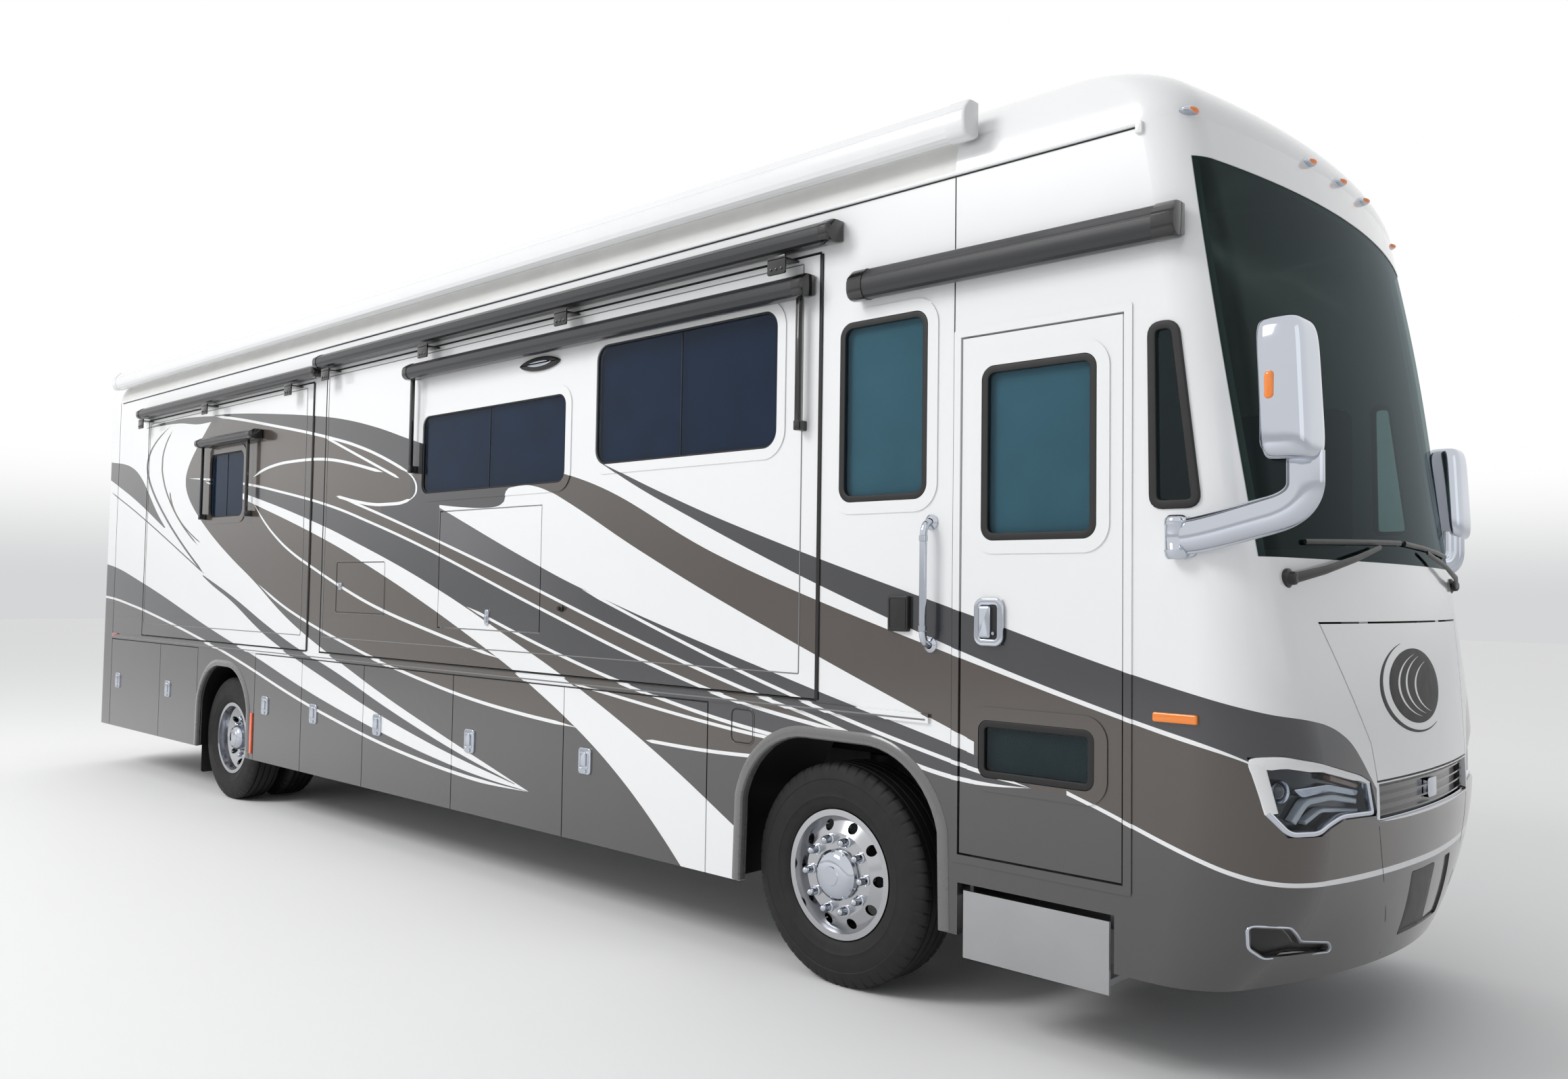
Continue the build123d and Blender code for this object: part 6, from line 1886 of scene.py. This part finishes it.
FRONT_HUB = (
    (0.136, 0.0), (0.136, 0.116), (0.142, 0.118), (0.148, 0.112), (0.158, 0.104),
    (0.166, 0.090), (0.171, 0.070), (0.1725, 0.045), (0.176, 0.043), (0.177, 0.0),
)
REAR_HUB = (
    (0.0, 0.0), (0.0, 0.115), (0.012, 0.118), (0.020, 0.112), (0.060, 0.106),
    (0.078, 0.100), (0.098, 0.084), (0.106, 0.060), (0.108, 0.0),
)
WHEELS = tuple(
    wheel
    for hand, sign in (("right", -1.0), ("left", 1.0))
    for wheel in (
        WheelSet(f"wheel_front_{hand}", 3.85, sign * 1.068, sign, 0.145, 0.118, FRONT_HUB, f"tyre_front_{hand}"),
        WheelSet(f"wheels_rear_{hand}", -3.055, sign * 1.075, sign, 0.135, -0.020, REAR_HUB, f"tyres_rear_{hand}", 0.335),
    )
)


@dataclass(frozen=True)
class Arches(Fitting):
    """Raised lips round the wheel arches, dark liners behind them and mud flaps."""

    arches: tuple[Spot, ...] = ((3.285, 4.505, 1.160), (-3.58, -2.53, 1.140))
    section: Curve = (
        (0.052, -0.004), (0.052, 0.001), (0.046, 0.0055), (0.030, 0.009), (0.012, 0.0115), (0.002, 0.010),
        (-0.004, 0.004), (-0.006, -0.004), (-0.006, -0.036), (0.0, -0.036), (0.0, -0.004),
    )
    front_swell: float = 0.07

    def edge(self, rear: float, front: float, top: float, inset: float) -> np.ndarray:
        """The arch's line from the front foot over the top to the rear foot.

        Args:
            rear: Rear edge.
            front: Front edge.
            top: Top.
            inset: How far inside the edge it runs.

        Returns:
            The path.
        """
        whole = rounded_box(rear + inset, front - inset, 0.816 - top + inset, top - inset, 0.43 - inset, 14)
        upper = whole[whole[:, 1] > 0.80]
        return np.vstack([[(front - inset, 0.412)], upper, [(rear + inset, 0.412)]])

    def build(self, shop: Workshop) -> None:
        """Builds the three parts.

        Args:
            shop: Where they are made.
        """
        lips, liners, flaps = PieceMesh("arch_lips"), PieceMesh("arch_liners"), PieceMesh("mud_flaps")
        for sign in SIDES:
            for rear, front, top in self.arches:
                lips.bead(SideSkin(sign), self.edge(rear, front, top, 0.0), np.array(self.section), closed=False)
                swell = self.front_swell if front > 0 else 0.0
                rows = []
                for inset, y in ((0.008, 1.262), (-swell, 1.235), (-swell, 0.62)):
                    path = self.edge(rear, front, top, inset)
                    rows.append(np.stack([path[:, 0], np.full(len(path), sign * y), path[:, 1]], axis=-1))
                liners.grid(np.array(rows))
            low, high = sorted((sign * 0.60, sign * 1.20))
            flaps.plate(CrossSkin(-3.665, -1.0), rounded_box(low, high, 0.16, 0.47, 0.02), -0.004, 0.004, 0.002)
        shop.add(lips, "lip_silver", ROOT)
        shop.add(liners, "black_plastic", ROOT)
        shop.add(flaps, "tyre_rubber", ROOT)


FITTINGS: tuple[Fitting, ...] = (
    Mirrors(), DoorHardware(), BayLatches(), WallFittings(), WindowTrim(), *AWNINGS,
    TopperBrackets(), Headlights(), NoseTrim(), Lamps(), *WHEELS, Arches(),
)


@dataclass(frozen=True)
class PhotoCamera:
    """The camera of the photograph, in the row frame."""

    place: Spot = (7.5934, -5.5683, 1.8463)
    yaw: float = 43.281
    pitch: float = -2.509
    roll: float = 0.849
    lens: float = 27.67
    sensor: float = 36.0

    def build(self) -> None:
        """Makes it the scene's camera. The three axes are right, up and backwards from the view direction."""
        yaw, pitch, roll = (math.radians(angle) for angle in (self.yaw, self.pitch, self.roll))
        forward = Vector((-math.sin(yaw) * math.cos(pitch), math.cos(yaw) * math.cos(pitch), -math.sin(pitch)))
        level = Vector((math.cos(yaw), math.sin(yaw), 0.0))
        rise = level.cross(forward)
        right = level * math.cos(roll) + rise * math.sin(roll)
        up = rise * math.cos(roll) - level * math.sin(roll)
        data = bpy.data.cameras.new("photo_camera")
        data.lens = self.lens
        data.sensor_width = self.sensor
        data.clip_end = 200.0
        camera = bpy.data.objects.new("photo_camera", data)
        turn = Matrix((right, up, -forward)).transposed()
        camera.matrix_world = Matrix.Translation(self.place) @ turn.to_4x4()
        bpy.context.scene.collection.objects.link(camera)
        bpy.context.scene.camera = camera


@dataclass(frozen=True)
class Studio:
    """A plain pale floor, a white background and soft lamps."""

    floor_reach: float = 60.0
    sky_light: float = 0.93
    shade_light: float = 0.12
    far_floor: Colour = linear(213, 214, 215)
    lamps: tuple[tuple[str, Spot, float], ...] = (("key", (-3.0, -13.0, 12.0), 1150.0), ("fill", (14.0, -2.0, 5.0), 40.0))
    lamp_size: float = 6.0

    def floor(self) -> None:
        """A wide pale floor under the wheels."""
        reach = self.floor_reach
        mesh = bpy.data.meshes.new("studio_floor")
        mesh.from_pydata([(-reach, -reach, 0), (reach, -reach, 0), (reach, reach, 0), (-reach, reach, 0)], [], [(0, 1, 2, 3)])
        made = bpy.data.objects.new("studio_floor", mesh)
        bpy.context.scene.collection.objects.link(made)
        mesh.materials.append(Moulding(linear(251, 251, 251), roughness=0.9, cloud=0.01).build("studio_floor"))

    def lamp(self, name: str, place: Spot, power: float) -> None:
        """A square area lamp that faces the middle of the body.

        Args:
            name: Name of the lamp.
            place: Where it hangs.
            power: Watts.
        """
        data = bpy.data.lights.new(name, "AREA")
        data.size = self.lamp_size
        data.energy = power
        made = bpy.data.objects.new(name, data)
        made.location = place
        made.rotation_mode = "QUATERNION"
        made.rotation_quaternion = (Vector((0.0, 0.0, 1.8)) - Vector(place)).to_track_quat("-Z", "Y")
        bpy.context.scene.collection.objects.link(made)

    def world(self) -> None:
        """Even light, dimmer ahead of the nose. The camera, metal and glass see white that meets the floor softly."""
        world = bpy.data.worlds.new("studio")
        bpy.context.scene.world = world
        world.use_nodes = True
        sky = NodeNet(world.node_tree, "Generated")
        x, _, z = sky.axes()
        bright, dim = self.sky_light, self.shade_light
        lit = sky.mix(sky.ease(x, -0.1, 0.75), (bright, bright, bright), (dim * 0.86, dim * 0.95, dim * 1.1))
        pale = sky.mix(sky.ease(z, 0.0, 0.10), self.far_floor, (1.0, 1.0, 1.0))
        ray = sky.node("ShaderNodeLightPath").outputs
        seen = sky.maths("MAXIMUM", sky.maths("MAXIMUM", ray["Is Camera Ray"], ray["Is Glossy Ray"]), ray["Is Transmission Ray"])
        lights = []
        for colour in (lit, pale):
            light = sky.node("ShaderNodeBackground")
            sky.feed(light.inputs["Color"], colour)
            lights.append(light.outputs[0])
        sky.feed(sky.node("ShaderNodeOutputWorld").inputs["Surface"], sky.blend(seen, *lights))

    def build(self) -> None:
        """Builds floor, lamps and world."""
        self.floor()
        for name, place, power in self.lamps:
            self.lamp(name, place, power)
        self.world()
        bpy.context.scene.view_settings.view_transform = "Standard"


def main() -> None:
    """Builds everything in order."""
    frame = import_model()
    PhotoCamera().build()
    Studio().build()
    shop = Workshop(frame)
    shop.dress()
    for fitting in FITTINGS:
        fitting.build(shop)


if __name__ == "__main__":
    main()
